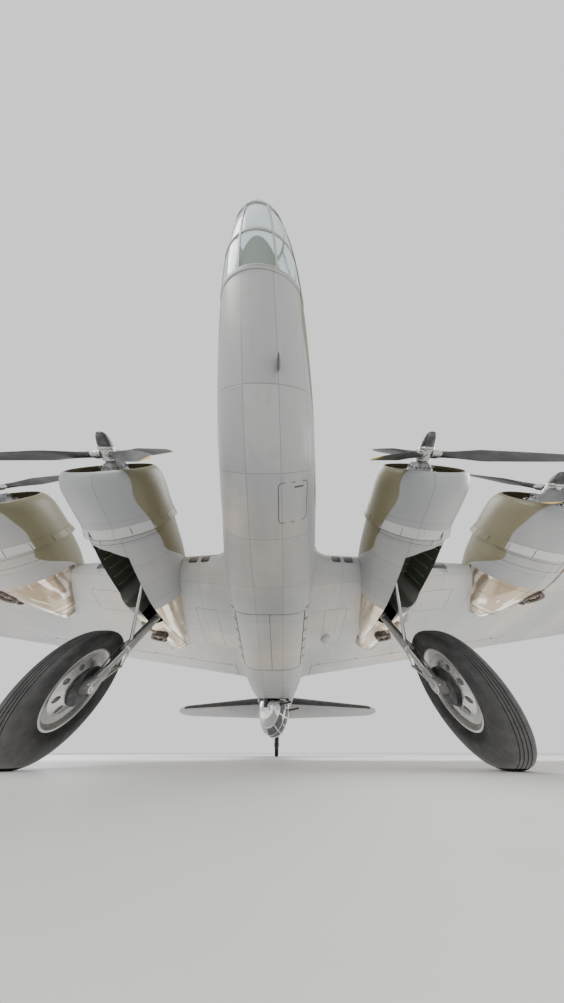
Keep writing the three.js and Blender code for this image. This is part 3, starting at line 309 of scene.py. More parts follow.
def strip(path, normals, width, thickness, loop=False):
    """A flat bar that follows a path on a surface, half sunk into it."""
    path, normals = np.asarray(path, float), np.asarray(normals, float)
    normals = normals / np.linalg.norm(normals, axis=1)[:, None]
    if loop:
        ahead = np.roll(path, -1, axis=0) - np.roll(path, 1, axis=0)
    else:
        ahead = np.gradient(path, axis=0)
    side = np.cross(ahead, normals)
    side *= width / 2 / np.linalg.norm(side, axis=1)[:, None]
    out = normals * thickness / 2
    soft = 0.7
    rings = np.stack((path - side - out, path + side - out, path + side + out * 0.4, path + side * soft + out,
                      path - side * soft + out, path - side + out * 0.4), axis=1)
    return loft(rings, loop=loop)


def band(pairs, width, thickness, loop=False):
    """A flat bar along pairs of a place on a surface and the way out of it."""
    return strip(*zip(*pairs), width, thickness, loop)


def finer(outline, steps):
    """A closed outline with each of its sides in equal steps."""
    return [[u + (v - u) * k / steps for u, v in zip(a, b)]
            for a, b in zip(outline, outline[1:] + outline[:1]) for k in range(steps)]


def copies(shape, matrices):
    """The shape repeated, once for each matrix."""
    return joined(*(placed(shape, matrix) for matrix in matrices))


def turns(count, axis="Y"):
    """Turns that spread copies evenly about an axis."""
    return [Matrix.Rotation(turn, 4, axis) for turn in around(count)]


# Blender objects from shapes


def mesh_from(shape, name="part"):
    mesh = bpy.data.meshes.new(name)
    mesh.from_pydata(shape[0].tolist(), [], [list(f) for f in shape[1]])
    work = bmesh.new()
    work.from_mesh(mesh)
    bmesh.ops.remove_doubles(work, verts=work.verts, dist=2e-5)
    bmesh.ops.dissolve_degenerate(work, edges=work.edges, dist=1e-6)
    work.to_mesh(mesh)
    work.free()
    return mesh


def carved(shape, minus=(), keep=(), plus=()):
    """The shape with others added, cut out of it, or with only what it shares with them kept."""
    base = bpy.data.objects.new("base", mesh_from(shape))
    bpy.context.scene.collection.objects.link(base)
    tools = []
    for operation, shapes in (("UNION", plus), ("DIFFERENCE", minus), ("INTERSECT", keep)):
        for tool_shape in shapes:
            tool = bpy.data.objects.new("tool", mesh_from(tool_shape))
            bpy.context.scene.collection.objects.link(tool)
            tools.append(tool)
            modifier = base.modifiers.new("cut", "BOOLEAN")
            modifier.operation = operation
            modifier.solver = "MANIFOLD"
            modifier.object = tool
    bpy.context.view_layer.update()
    result = base.evaluated_get(bpy.context.evaluated_depsgraph_get()).data
    points = np.empty(len(result.vertices) * 3)
    result.vertices.foreach_get("co", points)
    faces = [tuple(p.vertices) for p in result.polygons]
    for item in (base, *tools):
        mesh = item.data
        bpy.data.objects.remove(item)
        bpy.data.meshes.remove(mesh)
    if not faces:
        raise ValueError("a cut left nothing")
    return points.reshape(-1, 3), faces


def piece(name, parts, replaces=None, body="airframe", sharp=32):
    """One object from (shape, material) pairs, riding on a body."""
    materials = list(dict.fromkeys(material for _, material in parts))
    if len(materials) == 1:
        mesh = mesh_from(joined(*(shape for shape, _ in parts)), name)
    else:
        mesh = bpy.data.meshes.new(name)
        work = bmesh.new()
        for shape, material in parts:
            part = mesh_from(shape)
            before = len(work.faces)
            work.from_mesh(part)
            work.faces.ensure_lookup_table()
            for face in work.faces[before:]:
                face.material_index = materials.index(material)
            bpy.data.meshes.remove(part)
        work.to_mesh(mesh)
        work.free()
    for material in materials:
        mesh.materials.append(material)
    made = bpy.data.objects.new(name, mesh)
    mesh.transform(TO_WORLD)
    mesh.shade_smooth()
    mesh.set_sharp_from_angle(angle=math.radians(sharp))
    bpy.context.scene.collection.objects.link(made)
    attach(made, body)
    if replaces:
        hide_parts(replaces)


# Materials

class Surface:
    """A node material in the making, with the place in the level frame as x, s and z."""

    def __init__(self, name, colour, roughness, metallic=0.0):
        self.material = bpy.data.materials.new(name)
        self.material.use_nodes = True
        self.tree = self.material.node_tree
        self.shader = self.tree.nodes["Principled BSDF"]
        self.set("Base Color", (*colour, 1))
        self.set("Roughness", roughness)
        self.set("Metallic", metallic)
        coordinates = self.node("TexCoord").outputs
        mapping = self.node("Mapping", {"vector_type": "TEXTURE"}, {
            "Vector": coordinates["Object"], "Location": tuple(FRAME_START), "Rotation": (-LEAN, 0, 0)})
        self.up = self.node("SeparateXYZ", values={0: coordinates["Normal"]}).outputs[2]
        self.place = mapping.outputs[0]
        parts = self.node("SeparateXYZ", values={0: self.place})
        self.x, self.s, self.z = parts.outputs
        self.across = self.math("ABSOLUTE", self.x)

    def set(self, name, value):
        socket = self.shader.inputs[name]
        if isinstance(value, bpy.types.NodeSocket):
            self.tree.links.new(value, socket)
        else:
            socket.default_value = value

    def node(self, kind, settings=None, values=None):
        made = self.tree.nodes.new("ShaderNode" + kind)
        for key, value in (settings or {}).items():
            setattr(made, key, value)
        for key, value in (values or {}).items():
            if isinstance(value, bpy.types.NodeSocket):
                self.tree.links.new(value, made.inputs[key])
            else:
                made.inputs[key].default_value = value
        return made

    def math(self, operation, a, b=0.0, c=0.0):
        return self.node("Math", {"operation": operation}, {0: a, 1: b, 2: c}).outputs[0]

    def plus(self, a, b):
        return self.math("ADD", a, b)

    def minus(self, a, b):
        return self.math("SUBTRACT", a, b)

    def times(self, a, b, more=None):
        """a times b, plus what more is where it is given."""
        if more is None:
            return self.math("MULTIPLY", a, b)
        return self.math("MULTIPLY_ADD", a, b, more)

    def ramp(self, value, low, high, start=0.0, end=1.0):
        """A soft step from start at low to end at high."""
        return self.node("MapRange", {"interpolation_type": "SMOOTHSTEP"}, {
            "Value": value, "From Min": low, "From Max": high, "To Min": start, "To Max": end}).outputs[0]

    def noise(self, scale, detail, stretch=(1, 1, 1)):
        place = self.node("VectorMath", {"operation": "MULTIPLY"}, {0: self.place, 1: stretch}).outputs[0]
        made = self.node("TexNoise", values={"Vector": place, "Scale": scale, "Detail": detail})
        return made.outputs["Fac"]

    def mix(self, share, a, b):
        a, b = ((*c, 1) if isinstance(c, tuple) else c for c in (a, b))
        return self.node("Mix", {"data_type": "RGBA"}, {0: share, 6: a, 7: b}).outputs[2]

    def line(self, value, spacing, width, offset=0.0):
        """1 on lines that repeat along a value, 0 between them."""
        shifted = self.plus(value, offset)
        distance = self.math("PINGPONG", shifted, spacing / 2)
        return self.ramp(distance, width, width * 0.25)

    def most(self, *values):
        found = values[0]
        for value in values[1:]:
            found = self.math("MAXIMUM", found, value)
        return found

    def bump(self, height, distance, strength):
        made = self.node("Bump", values={"Height": height, "Distance": distance, "Strength": strength})
        self.tree.links.new(made.outputs[0], self.shader.inputs["Normal"])


GREY = (0.35, 0.354, 0.353)
# Painted warm lamp light, laid on the grey paint in broad patches
GREY_PAINTED_WARM_LIGHT = (0.43, 0.385, 0.335)
GREY_DARK = (0.27, 0.278, 0.282)
GREY_WORN = (0.245, 0.241, 0.228)
OLIVE = (0.118, 0.107, 0.06)
OLIVE_FADED = (0.158, 0.142, 0.086)
OLIVE_WORN = (0.08, 0.074, 0.05)
LINE_DARK = (0.06, 0.059, 0.056)
# Painted reflection on the bare steel: the light and the dark of its streaks, in the next two colours
STEEL_REFLECTION_LIGHT = (0.68, 0.6, 0.48)
STEEL_REFLECTION_DARK = (0.37, 0.3, 0.215)
STEEL_BURNT = (0.24, 0.18, 0.125)
# Painted highlight streaks on the bare steel
STEEL_PAINTED_HIGHLIGHT = (0.95, 0.9, 0.8)
STEEL_SEAM = (0.08, 0.06, 0.045)
PANEL_GREY = (0.262, 0.268, 0.272)
# Painted light on the open cowl gills
GILL_PAINTED_LIGHT = (0.46, 0.463, 0.463)
# Painted shade on the cowls and nacelles
COOL_PAINTED_SHADE = (0.225, 0.24, 0.25)
# Painted shade in the wheel wells
WELL_PAINTED_SHADE = (0.045, 0.05, 0.04)


def wing_plane(surface):
    """Height of the wing's middle at a place: it climbs outboard and drops aft."""
    climb, drop, start = 0.0844, -0.0612, -0.138
    return surface.times(surface.s, drop, surface.times(surface.across, climb, start))


def waves(surface, along, size):
    """A wavy offset along a paint edge."""
    fast = surface.math("SINE", surface.times(along, 2.9))
    noise = surface.node("TexNoise", {"noise_dimensions": "1D"}, {"W": along, "Scale": 0.9, "Detail": 1.0})
    slow = surface.times(noise.outputs[0], 4.0, -2.0)
    return surface.times(surface.plus(fast, slow), size)


def panels(surface, kind):
    """Lap joints as lines, each panel's own tone, and a height that is 0 at the joints and 1 between them."""
    angle = surface.math("ARCTAN2", surface.x, surface.times(surface.z, -1))
    swept = surface.times(surface.across, -0.05, surface.s)
    # Value that runs across the lines, their spacing, half width and shift
    ways = {
        "hull": ((surface.s, 1.22, 0.008, 0.35), (angle, 0.5236, 0.007, 0.2618)),
        "wing": ((surface.across, 1.04, 0.007, 0.2), (swept, 0.93, 0.007, 0.35)),
        "fin": ((surface.z, 0.62, 0.006, 0.1), (surface.s, 0.9, 0.006, 0.2)),
        "nacelle": ((surface.s, 0.55, 0.007, 0.25), (surface.across, 0.62, 0.006, 0.3)),
        "cowl": ((surface.s, 0.92, 0.005, 0.4), (surface.across, 0.74, 0.005, 0.12)),
    }[kind]
    joints = surface.most(*(surface.line(*way) for way in ways))
    numbers, heights = [], []
    for value, spacing, _, offset in ways:
        shifted = surface.plus(value, offset)
        numbers.append(surface.math("FLOOR", surface.math("DIVIDE", shifted, spacing)))
        heights.append(surface.ramp(surface.math("PINGPONG", shifted, spacing / 2), 0.0, spacing * 0.42))
    cell = surface.node("CombineXYZ", values={0: numbers[0], 1: numbers[1]}).outputs[0]
    tone = surface.node("TexWhiteNoise", {"noise_dimensions": "2D"}, {"Vector": cell}).outputs["Value"]
    return joints, tone, surface.times(*heights)


def steel_skin(surface, colour, joints, plates, steel_from):
    """Bare stainless plates behind a wavy edge, below the wing, with painted reflections as broad light and
    dark streaks and painted highlights as narrow bright ones. Also gives where they are.
    """
    # Painted reflection as broad light and dark streaks along the steel, and painted highlights as narrow
    # bright streaks
    reflection_streaks = surface.noise(1.7, 1, (2.2, 0.2, 2.2))
    highlight_streaks = surface.noise(2.9, 0, (2.6, 0.14, 2.6))
    tone = surface.mix(surface.ramp(reflection_streaks, 0.4, 0.6), STEEL_REFLECTION_LIGHT, STEEL_REFLECTION_DARK)
    tone = surface.mix(surface.ramp(plates, 0.35, 0.65, 0, 0.5), tone, STEEL_BURNT)
    tone = surface.mix(surface.ramp(highlight_streaks, 0.56, 0.68, 0, 0.85), tone, STEEL_PAINTED_HIGHLIGHT)
    tone = surface.mix(surface.times(joints, 0.85), tone, STEEL_SEAM)
    behind = surface.plus(surface.s, waves(surface, surface.z, 0.02))
    aft = surface.ramp(behind, steel_from, steel_from + 0.012)
    below = surface.ramp(surface.minus(wing_plane(surface), surface.z), 0.0, 0.05)
    where = surface.times(aft, below)
    return surface.mix(where, colour, tone), where


def in_well(surface):
    """1 on the walls and roof of a wheel well, 0 elsewhere."""
    out = surface.minus(surface.across, ENGINES[0][1])
    inside = surface.ramp(out, -0.315, -0.312)
    for value, low, high in ((out, 0.503, 0.5), (surface.s, 4.685, 4.688), (surface.s, 7.154, 7.151),
                             (surface.z, WELL_ROOF + 0.01, WELL_ROOF + 0.005)):
        inside = surface.times(inside, surface.ramp(value, low, high))
    for slant, level in ((0.87, 4.73), (0.393, 4.768), (-0.227, 4.644), (-2.0, 3.9)):
        front = surface.times(out, slant, surface.s)
        inside = surface.times(inside, surface.ramp(front, level - 0.006, level - 0.003))
    corner = surface.ramp(surface.plus(out, surface.s), 6.9, 6.6)
    return surface.times(inside, surface.most(corner, surface.ramp(out, -0.05, -0.06)))


def paint(name, kind, edge=None, steel_from=None, shaded_well=False, dents=None, painted_lighting=(0, GREY)):
    """Grey below and olive above a wavy edge, with joints, rivets, streaks and skin that bulges a little;
    also broad patches of painted warm light, a tint of painted shade or painted light where given, painted
    shade in wheel wells and painted reflections on bare steel.
    """
    surface = Surface(name, GREY, 0.4)
    smooth = surface.noise(0.55, 3)
    fine = surface.noise(24, 2)
    streaks = surface.noise(2.4, 4, (3.2, 0.3, 3.2))
    joints, tone, bulge = panels(surface, kind)
    # Painted light: broad patches where the grey turns warmer, as under warm lamps
    grey = surface.mix(surface.ramp(surface.noise(0.42, 1), 0.42, 0.62), GREY, GREY_PAINTED_WARM_LIGHT)
    grey = surface.mix(surface.ramp(smooth, 0.4, 0.68, 0, 0.8), grey, GREY_DARK)
    grey = surface.mix(surface.times(tone, 0.5), grey, PANEL_GREY)
    grey = surface.mix(surface.ramp(surface.noise(7, 3, (1.2, 0.45, 1.2)), 0.5, 0.8, 0, 0.3), grey, GREY_WORN)
    # Painted shade or painted light from the given tint: darker and cooler on cowls and nacelles, lighter on
    # the open gills
    grey = surface.mix(painted_lighting[0], grey, painted_lighting[1])
    grey = surface.mix(surface.ramp(streaks, 0.54, 0.82, 0, 0.22), grey, GREY_WORN)
    olive = surface.mix(surface.ramp(smooth, 0.35, 0.7), OLIVE, OLIVE_FADED)
    olive = surface.mix(surface.times(tone, 0.35), olive, OLIVE_FADED)
    olive = surface.mix(surface.ramp(streaks, 0.55, 0.85, 0, 0.35), olive, OLIVE_WORN)
    colour = olive
    if edge:
        above = surface.ramp(surface.minus(surface.z, edge(surface)), -0.012, 0.012)
        if kind == "wing":
            above = surface.most(above, surface.ramp(surface.up, 0.3, 0.4))
            above = surface.times(above, surface.ramp(surface.up, -0.6, -0.5))
        colour = surface.mix(above, grey, olive)
    colour = surface.mix(surface.times(joints, 0.5), colour, LINE_DARK)
    roughness = surface.ramp(fine, 0.2, 0.8, 0.36, 0.45)
    if steel_from:
        colour, metal = steel_skin(surface, colour, joints, tone, steel_from)
        surface.set("Metallic", metal)
        roughness = surface.times(metal, -0.21, roughness)
    # Painted shade: the walls and roof of the wheel well darkened, as a recess in shade
    if shaded_well:
        colour = surface.mix(in_well(surface), colour, WELL_PAINTED_SHADE)
    surface.set("Base Color", colour)
    surface.set("Roughness", roughness)
    rivets = surface.times(*(surface.line(value, 0.055, 0.012) for value in (surface.s, surface.across)))
    height = surface.times(joints, -1.0, surface.times(rivets, 0.16))
    height = surface.plus(height, surface.times(bulge, surface.times(tone, 2.4, -1.2)))
    height = surface.times(surface.noise(2.6, 2), 2.2, height)
    if dents:
        share = surface.times(*(surface.ramp(surface.s, *ends) for ends in dents))
        folds = surface.noise(1.5, 2, (0.8, 1.7, 0.8))
        height = surface.plus(height, surface.times(share, surface.times(folds, 9.0)))
    surface.bump(height, 0.005, 0.6)
    return surface.material


def hull_edge(surface):
    """Height of the paint edge along the hull's side, which climbs towards the tail."""
    climb = surface.ramp(surface.s, 14.0, 22.0, -0.5, 0.18)
    return surface.plus(climb, waves(surface, surface.s, 0.045))


def wing_edge(surface):
    return surface.plus(surface.plus(wing_plane(surface), 0.02), waves(surface, surface.across, 0.012))


def tail_edge(surface):
    return surface.plus(waves(surface, surface.across, 0.008), 0.352)


def nacelle_edge(centre, lead):
    def edge(surface):
        front = surface.plus(waves(surface, surface.s, 0.05), centre - 0.34)
        share = surface.ramp(surface.s, lead - 0.9, lead - 0.1)
        rise = surface.minus(wing_plane(surface), front)
        return surface.times(rise, share, front)
    return edge


def simple(name, colour, worn, roughness, metallic, scale, bump=0.002):
    """A surface that shades from one colour to a worn one, with grain in its gloss."""
    surface = Surface(name, colour, roughness, metallic)
    patches = surface.noise(scale, 4)
    grain = surface.noise(scale * 9, 2)
    surface.set("Base Color", surface.mix(surface.ramp(patches, 0.35, 0.75), colour, worn))
    surface.set("Roughness", surface.ramp(grain, 0.25, 0.75, max(roughness - 0.08, 0.03), roughness + 0.08))
    if bump:
        surface.bump(grain, bump, 0.4)
    return surface.material


def glass(name, colour, through=0.9, roughness=0.06):
    surface = Surface(name, colour, roughness)
    surface.set("Transmission Weight", through)
    surface.set("IOR", 1.2)
    dust = surface.noise(6, 4)
    surface.set("Roughness", surface.ramp(dust, 0.35, 0.8, roughness, roughness + 0.12))
    return surface.material


# Painted shade: the nacelles tinted darker and cooler
NACELLE_PAINTED_SHADE = (0.4, COOL_PAINTED_SHADE)
# Far enough aft that the paint edge of a cowl doesn't climb to the wing
FAR_AFT = 40
PAINT_HULL = paint("hull_paint", "hull", hull_edge, dents=((9.3, 10.4), (14.2, 12.6)))
PAINT_WING = paint("wing_paint", "wing", wing_edge, shaded_well=True)
PAINT_TAILPLANE = paint("tailplane_paint", "wing", tail_edge)
PAINT_FIN = paint("fin_paint", "fin")
PAINT_NACELLE = {
    "inner": paint("inner_nacelle_paint", "nacelle", nacelle_edge(-0.43, 5.9), 6.62, True, painted_lighting=NACELLE_PAINTED_SHADE),
    "outer": paint("outer_nacelle_paint", "nacelle", nacelle_edge(-0.151, 6.41), 6.2, painted_lighting=NACELLE_PAINTED_SHADE),
}
# Painted shade on the cowls, and painted light on the open gills
PAINT_COWL, PAINT_GILLS = (
    {name: paint(f"{name}_{part}_paint", "cowl", nacelle_edge(z, FAR_AFT), painted_lighting=painted_lighting)
     for name, _, z, _ in ENGINES}
    for part, painted_lighting in (("cowl", (0.6, COOL_PAINTED_SHADE)), ("gill", (0.7, GILL_PAINTED_LIGHT))))
BARE = simple("bare_alloy", (0.53, 0.53, 0.52), (0.46, 0.46, 0.45), 0.34, 0.85, 4, 0)
BALL_METAL = simple("ball_metal", (0.7, 0.7, 0.69), (0.56, 0.56, 0.55), 0.16, 1.0, 4, 0)
HOT_STEEL = simple("hot_steel", (0.42, 0.33, 0.24), (0.25, 0.18, 0.125), 0.3, 1.0, 9)
STEEL = simple("gear_steel", (0.45, 0.45, 0.44), (0.37, 0.37, 0.36), 0.34, 0.85, 7, 0)
CHROME = simple("oleo_chrome", (0.75, 0.75, 0.74), (0.66, 0.66, 0.65), 0.12, 1.0, 8, 0)
BURNT = simple("burnt_steel", (0.15, 0.112, 0.082), (0.27, 0.21, 0.155), 0.36, 0.85, 7)
TURBO_RING = simple("turbo_ring", (0.04, 0.033, 0.028), (0.11, 0.088, 0.07), 0.38, 0.7, 9)
RING_PAINT = simple("ring_paint", GREY, GREY_DARK, 0.4, 0.0, 5)
GRILLE = simple("inlet_grille", (0.2, 0.205, 0.208), (0.14, 0.143, 0.145), 0.45, 0.3, 12)
CASTING = simple("engine_casting", (0.2, 0.21, 0.21), (0.13, 0.13, 0.12), 0.45, 0.5, 14)
FINS = simple("cylinder_fins", (0.09, 0.09, 0.085), (0.16, 0.15, 0.13), 0.5, 0.6, 18)
BLACK = simple("black_paint", (0.016, 0.016, 0.017), (0.04, 0.04, 0.04), 0.42, 0.0, 6)
YELLOW = simple("tip_yellow", (0.72, 0.44, 0.03), (0.55, 0.33, 0.05), 0.45, 0.0, 10)
RUBBER = simple("tyre_rubber", (0.012, 0.012, 0.013), (0.03, 0.029, 0.028), 0.62, 0.0, 10, 0.003)
SEAM = simple("dark_seam", (0.05, 0.049, 0.047), (0.09, 0.088, 0.083), 0.5, 0.0, 9)
SEAT = simple("seat_leather", (0.1, 0.055, 0.028), (0.17, 0.1, 0.055), 0.5, 0.0, 11, 0.003)
BOOT = simple("boot_rubber", (0.014, 0.014, 0.015), (0.035, 0.035, 0.035), 0.7, 0.0, 5)
DARK = simple("dark_metal", (0.05, 0.05, 0.052), (0.1, 0.1, 0.1), 0.38, 0.7, 12)
CABIN = simple("cabin_green", (0.12, 0.15, 0.075), (0.08, 0.1, 0.055), 0.6, 0.0, 4)
CLEAR = glass("clear_glazing", (0.86, 0.92, 0.94))
BALL_GLASS = glass("ball_glazing", (0.2, 0.215, 0.22), 0.35, 0.04)


# Hull

def spread(top, bottom):
    """Middle and half height between two levels."""
    return (top + bottom) / 2, (top - bottom) / 2


def hull_rings(stations, inset):
    half_width, top, bottom, square = curve(HULL, stations).T[..., None]
    middle, half = spread(top, bottom)
    turn = half_steps(96)
    power = np.where(np.sin(turn) < 0, 2 / square, 1)
    across, up = (np.sign(way(turn)) * np.abs(way(turn)) ** power for way in (np.cos, np.sin))
    return places((half_width - inset) * across, np.asarray(stations)[:, None], middle + (half - inset) * up)


def hull_body(start, end, inset=0.0, step=0.12):
    return loft(hull_rings(np.linspace(start, end, max(2, round((end - start) / step) + 1)), inset))


def hull_point(s, turn, out=0.0):
    """A place on the hull's skin; turn is 0 at the left side and goes over the top. Also its way out."""
    def at(station, angle):
        half_width, top, bottom, square = curve(HULL, station)[0]
        middle, half = spread(top, bottom)
        power = 2 / square if math.sin(angle) < 0 else 1
        across, up = (math.copysign(abs(way(angle)) ** power, way(angle)) for way in (math.cos, math.sin))
        return np.array((half_width * across, station, middle + half * up))
    here = at(s, turn)
    normal = np.cross(at(s, turn + 0.01) - here, at(s + 0.02, turn) - here)
    normal /= np.linalg.norm(normal)
    if normal @ (here - np.array((0, s, 0))) < 0:
        normal = -normal
    return here + normal * out, normal


def hump_body(inset=0.0, start=HUMP[0][0]):
    """The raised cockpit roof: straight sides, sloped shoulders and a flat windscreen."""
    foot, eave, slope, shoulder = 0.45, 0.95, 0.11, 0.13
    foot_s, screen_s, end_s = HUMP[0][0], HUMP[1][0], HUMP[-1][0]
    rings = []
    for s in np.r_[np.linspace(start, screen_s, 7), np.linspace(screen_s, end_s, 26)[1:]]:
        share = (s - foot_s) / (screen_s - foot_s)
        straight = np.array(HUMP[0][1:]) * (1 - share) + np.array(HUMP[1][1:]) * share
        base, crown, top = (straight if s <= screen_s else curve(HUMP[1:], s)[0]) - inset
        edge = min(eave, top - slope - 0.02)
        half = [(base, foot), (base, edge), (crown, top - slope), (crown - shoulder, top)]
        outline = rounded(half + [(-x, z) for x, z in reversed(half)], 0.09, 6)
        rings.append([(x, s, z) for x, z in outline])
    return loft(rings)


COCKPIT_SIDE_WINDOWS = ((3.80, 4.22), (4.32, 4.70))
NOSE_WINDOWS = ((1.52, 1.94), (2.36, 2.74))
DOORWAY = window("y", -0.25, 0.25, -0.70, 0.70, -0.12, 0.12, 0.12)
# Top dome: s and height of its centre, radius of its glass, and turns of its bars and of the nose's
DOME_S, DOME_Z, DOME_RADIUS = 5.45, 1.645, 0.468
FRAME_TURNS = np.radians(np.arange(0, 360, 45) + 22.5)
# Belly: depth that reaches through its skin, and the two ends of the door opening
BELLY_LOW, BELLY_HIGH = -1.4, -0.7
BAY_FROM, BAY_TO = 6.69, 9.36
# Crew door: from and to in s, then in z
CREW_DOOR_S, CREW_DOOR_Z = (15.6, 16.35), (-0.4, 0.62)
AHEAD = (0, 1, 0)


def both(make):
    return [make(side) for _, side in SIDES]


def front_hull():
    collar = placed(turned([(0, 0), (0, 0.485), (0.59, 0.485), (0.64, 0.46), (0.64, 0)], 64, "z"),
                    Matrix.Translation((0, DOME_S, 1.0)))
    cuts = [hull_body(NOSE_END - 0.05, FRONT_END - 0.03, WALL), hump_body(0.045, 3.06),
            post(0, DOME_S, 0.9, 1.8, 0.43, sides=48), moved(DOORWAY, FRONT_END)]
    cuts += both(lambda side: window("y", side * 0.05, side * 0.34, 1.10, 1.50, 3.05, 3.85, 0.07))
    for s0, s1 in COCKPIT_SIDE_WINDOWS:
        cuts += both(lambda side: window("x", s0, s1, 1.12, 1.48, side * 0.45, side * 0.95, 0.06))
    for s0, s1 in NOSE_WINDOWS:
        cuts += both(lambda side: window("x", s0, s1, -0.15, 0.25, side * 0.5, side * 1.1, 0.07))
    return carved(hull_body(NOSE_END, FRONT_END), plus=[hump_body(), collar], minus=cuts)


def bay_hull():
    openings = both(lambda side: block((0, BAY_FROM, BELLY_LOW), (side * 0.872, BAY_TO, BELLY_HIGH)))
    cuts = [hull_body(FRONT_END + 0.03, BAY_END - 0.03, WALL)]
    cuts += [moved(DOORWAY, s) for s in (FRONT_END, BAY_END)]
    return carved(hull_body(FRONT_END, BAY_END), minus=cuts + openings)


def bay_frames():
    """Ribs and stringers inside the bay, and the walkway beam down its middle on its posts."""
    rib_turns = np.linspace(math.radians(-35), math.radians(215), 40)
    parts = [band([(hull_point(s, turn, -0.075)[0], AHEAD) for turn in rib_turns], 0.06, 0.02)
             for s in np.arange(6.9, 9.4, 0.4)]
    for turn in np.radians((10, 35, 60, 90, 120, 145, 170)):
        parts.append(band([hull_point(s, turn, -0.06) for s in np.linspace(6.65, 9.4, 8)], 0.03, 0.03))
    parts.append(block((-0.12, 6.63, -0.76), (0.12, 9.42, -0.70), 0.01))
    for s in np.arange(6.8, 9.4, 0.43):
        parts += [post(x, s, -0.72, 0.75, 0.018, sides=10) for x in (0.1, -0.1)]
    return joined(*parts)


def rear_hull():
    cuts = [hull_body(BAY_END + 0.03, REAR_END - 0.06, WALL), moved(DOORWAY, BAY_END),
            window("x", 15.59, 16.36, -0.41, 0.63, -1.5, -0.2, 0.05),
            post(0, BALL_S, -2.0, -0.5, 0.665, sides=96)]
    cuts += both(lambda side: window("x", 14.0, 14.9, -0.05, 0.75, side * 0.3, side * 1.5, 0.05))
    return joined(carved(hull_body(BAY_END, REAR_END), minus=cuts), post(0, BALL_S, -0.298, 1.1, 0.06))


def tail_cone():
    outline = rounded([(-0.2, 17.5), (0.2, 17.5), (0.16, 18.2), (0.2, 18.9), (-0.2, 18.9), (-0.16, 18.2)],
                      0.03)
    return carved(hull_body(REAR_END, CONE_END), minus=[prism(outline, "z", -0.9, -0.15)])


def bay_door(side):
    room = block((side * 0.006, BAY_FROM + 0.01, BELLY_LOW), (side * 0.856, BAY_TO - 0.01, BELLY_HIGH))
    inside = hull_body(FRONT_END - 0.2, BAY_END + 0.2, 0.028)
    shell = carved(hull_body(FRONT_END - 0.1, BAY_END + 0.1), minus=[inside], keep=[room])
    across = 0.006 + 0.85 * np.linspace(0.03, 0.97, 16)
    ribs = [band([((side * x, s, hull_skin_z(s, x) + 0.04), AHEAD) for x in across], 0.03, 0.02)
            for s in np.linspace(6.76, 9.29, 9)]
    return joined(shell, *ribs)


def hull_skin_z(s, x):
    """Height of the hull's lower skin."""
    half_width, top, bottom, square = curve(HULL, s)[0]
    middle, half = spread(top, bottom)
    return middle - half * (1 - min(abs(x) / half_width, 1.0)**square) ** (1 / square)


def crew_door():
    shell = carved(hull_body(15.2, 16.8), minus=[hull_body(15.1, 16.9, 0.035)],
                   keep=[window("x", *CREW_DOOR_S, *CREW_DOOR_Z, -1.5, -0.2, 0.045)])
    x, s = -(curve(HULL, 15.59)[0][0] + 0.02), 15.58
    low, high = 0.108, 0.162
    arm = [post(x, s, 0.105, 0.165, 0.012, sides=20),
           block((x - 0.012, s, low), (x + 0.008, s + 0.06, high), 0.004),
           block((x - 0.012, s + 0.026, low), (x + 0.05, s + 0.06, high), 0.004)]
    spot, _ = hull_point(16.2, math.radians(180), 0.012)
    handle = rod(spot + (0, -0.09, 0.02), spot + (0, 0.05, 0.02), 0.011, edge=0.004)
    return joined(shell, *arm, handle)


def waist_frame(side):
    """A flat frame bar that lies on the hull round a waist window."""
    pairs = []
    for s, z in rounded([(13.99, -0.06), (14.91, -0.06), (14.91, 0.76), (13.99, 0.76)], 0.06, 6):
        middle, half = spread(*curve(HULL, s)[0][1:3])
        up = math.asin(np.clip((z - middle) / half, -1, 1))
        pairs.append(hull_point(s, up if side > 0 else math.pi - up))
    return band(pairs, 0.05, 0.014, loop=True)


# The clear nose by the square root of s, so that its round tip comes out smooth
NOSE_BY_ROOT = [(math.sqrt(s), r, z) for s, r, z in NOSE]


def nose_row(s):
    """Radius of the clear nose, and height of its centre."""
    return curve(NOSE_BY_ROOT, math.sqrt(s))[0]


def nose_shell(inset=0.0):
    rings = []
    turn = half_steps(96)
    for s in np.linspace(0, 1, 26) ** 2 * NOSE_END:
        radius, z = nose_row(s)
        radius = max(radius - inset, 1e-4)
        at = min(s + inset * (1 - s / NOSE_END) + (0.02 if inset and s > 0.89 else 0), NOSE_END + 0.02)
        rings.append(places(radius * np.cos(turn), at, z + radius * np.sin(turn)))
    return loft(rings)


def nose_point(s, turn):
    """A place just off the clear nose, and its way out."""
    radius, z = nose_row(s)
    slope = (nose_row(min(s + 0.01, NOSE_END))[0] - nose_row(max(s - 0.01, 0))[0]) / 0.02
    normal = np.array((math.cos(turn), -slope, math.sin(turn)))
    normal /= np.linalg.norm(normal)
    return np.array((radius * math.cos(turn), s, z + radius * math.sin(turn))) + normal * 0.002, normal


def nose_frames():
    along = np.linspace(0.2, 0.88, 16)
    bars = [band([nose_point(s, turn) for s in along], 0.028, 0.014) for turn in FRAME_TURNS]
    for s, width in ((0.2, 0.035), (0.52, 0.028), (0.875, 0.05)):
        bars.append(band([nose_point(s, turn) for turn in around(72)], width, 0.014, loop=True))
    return joined(*bars)


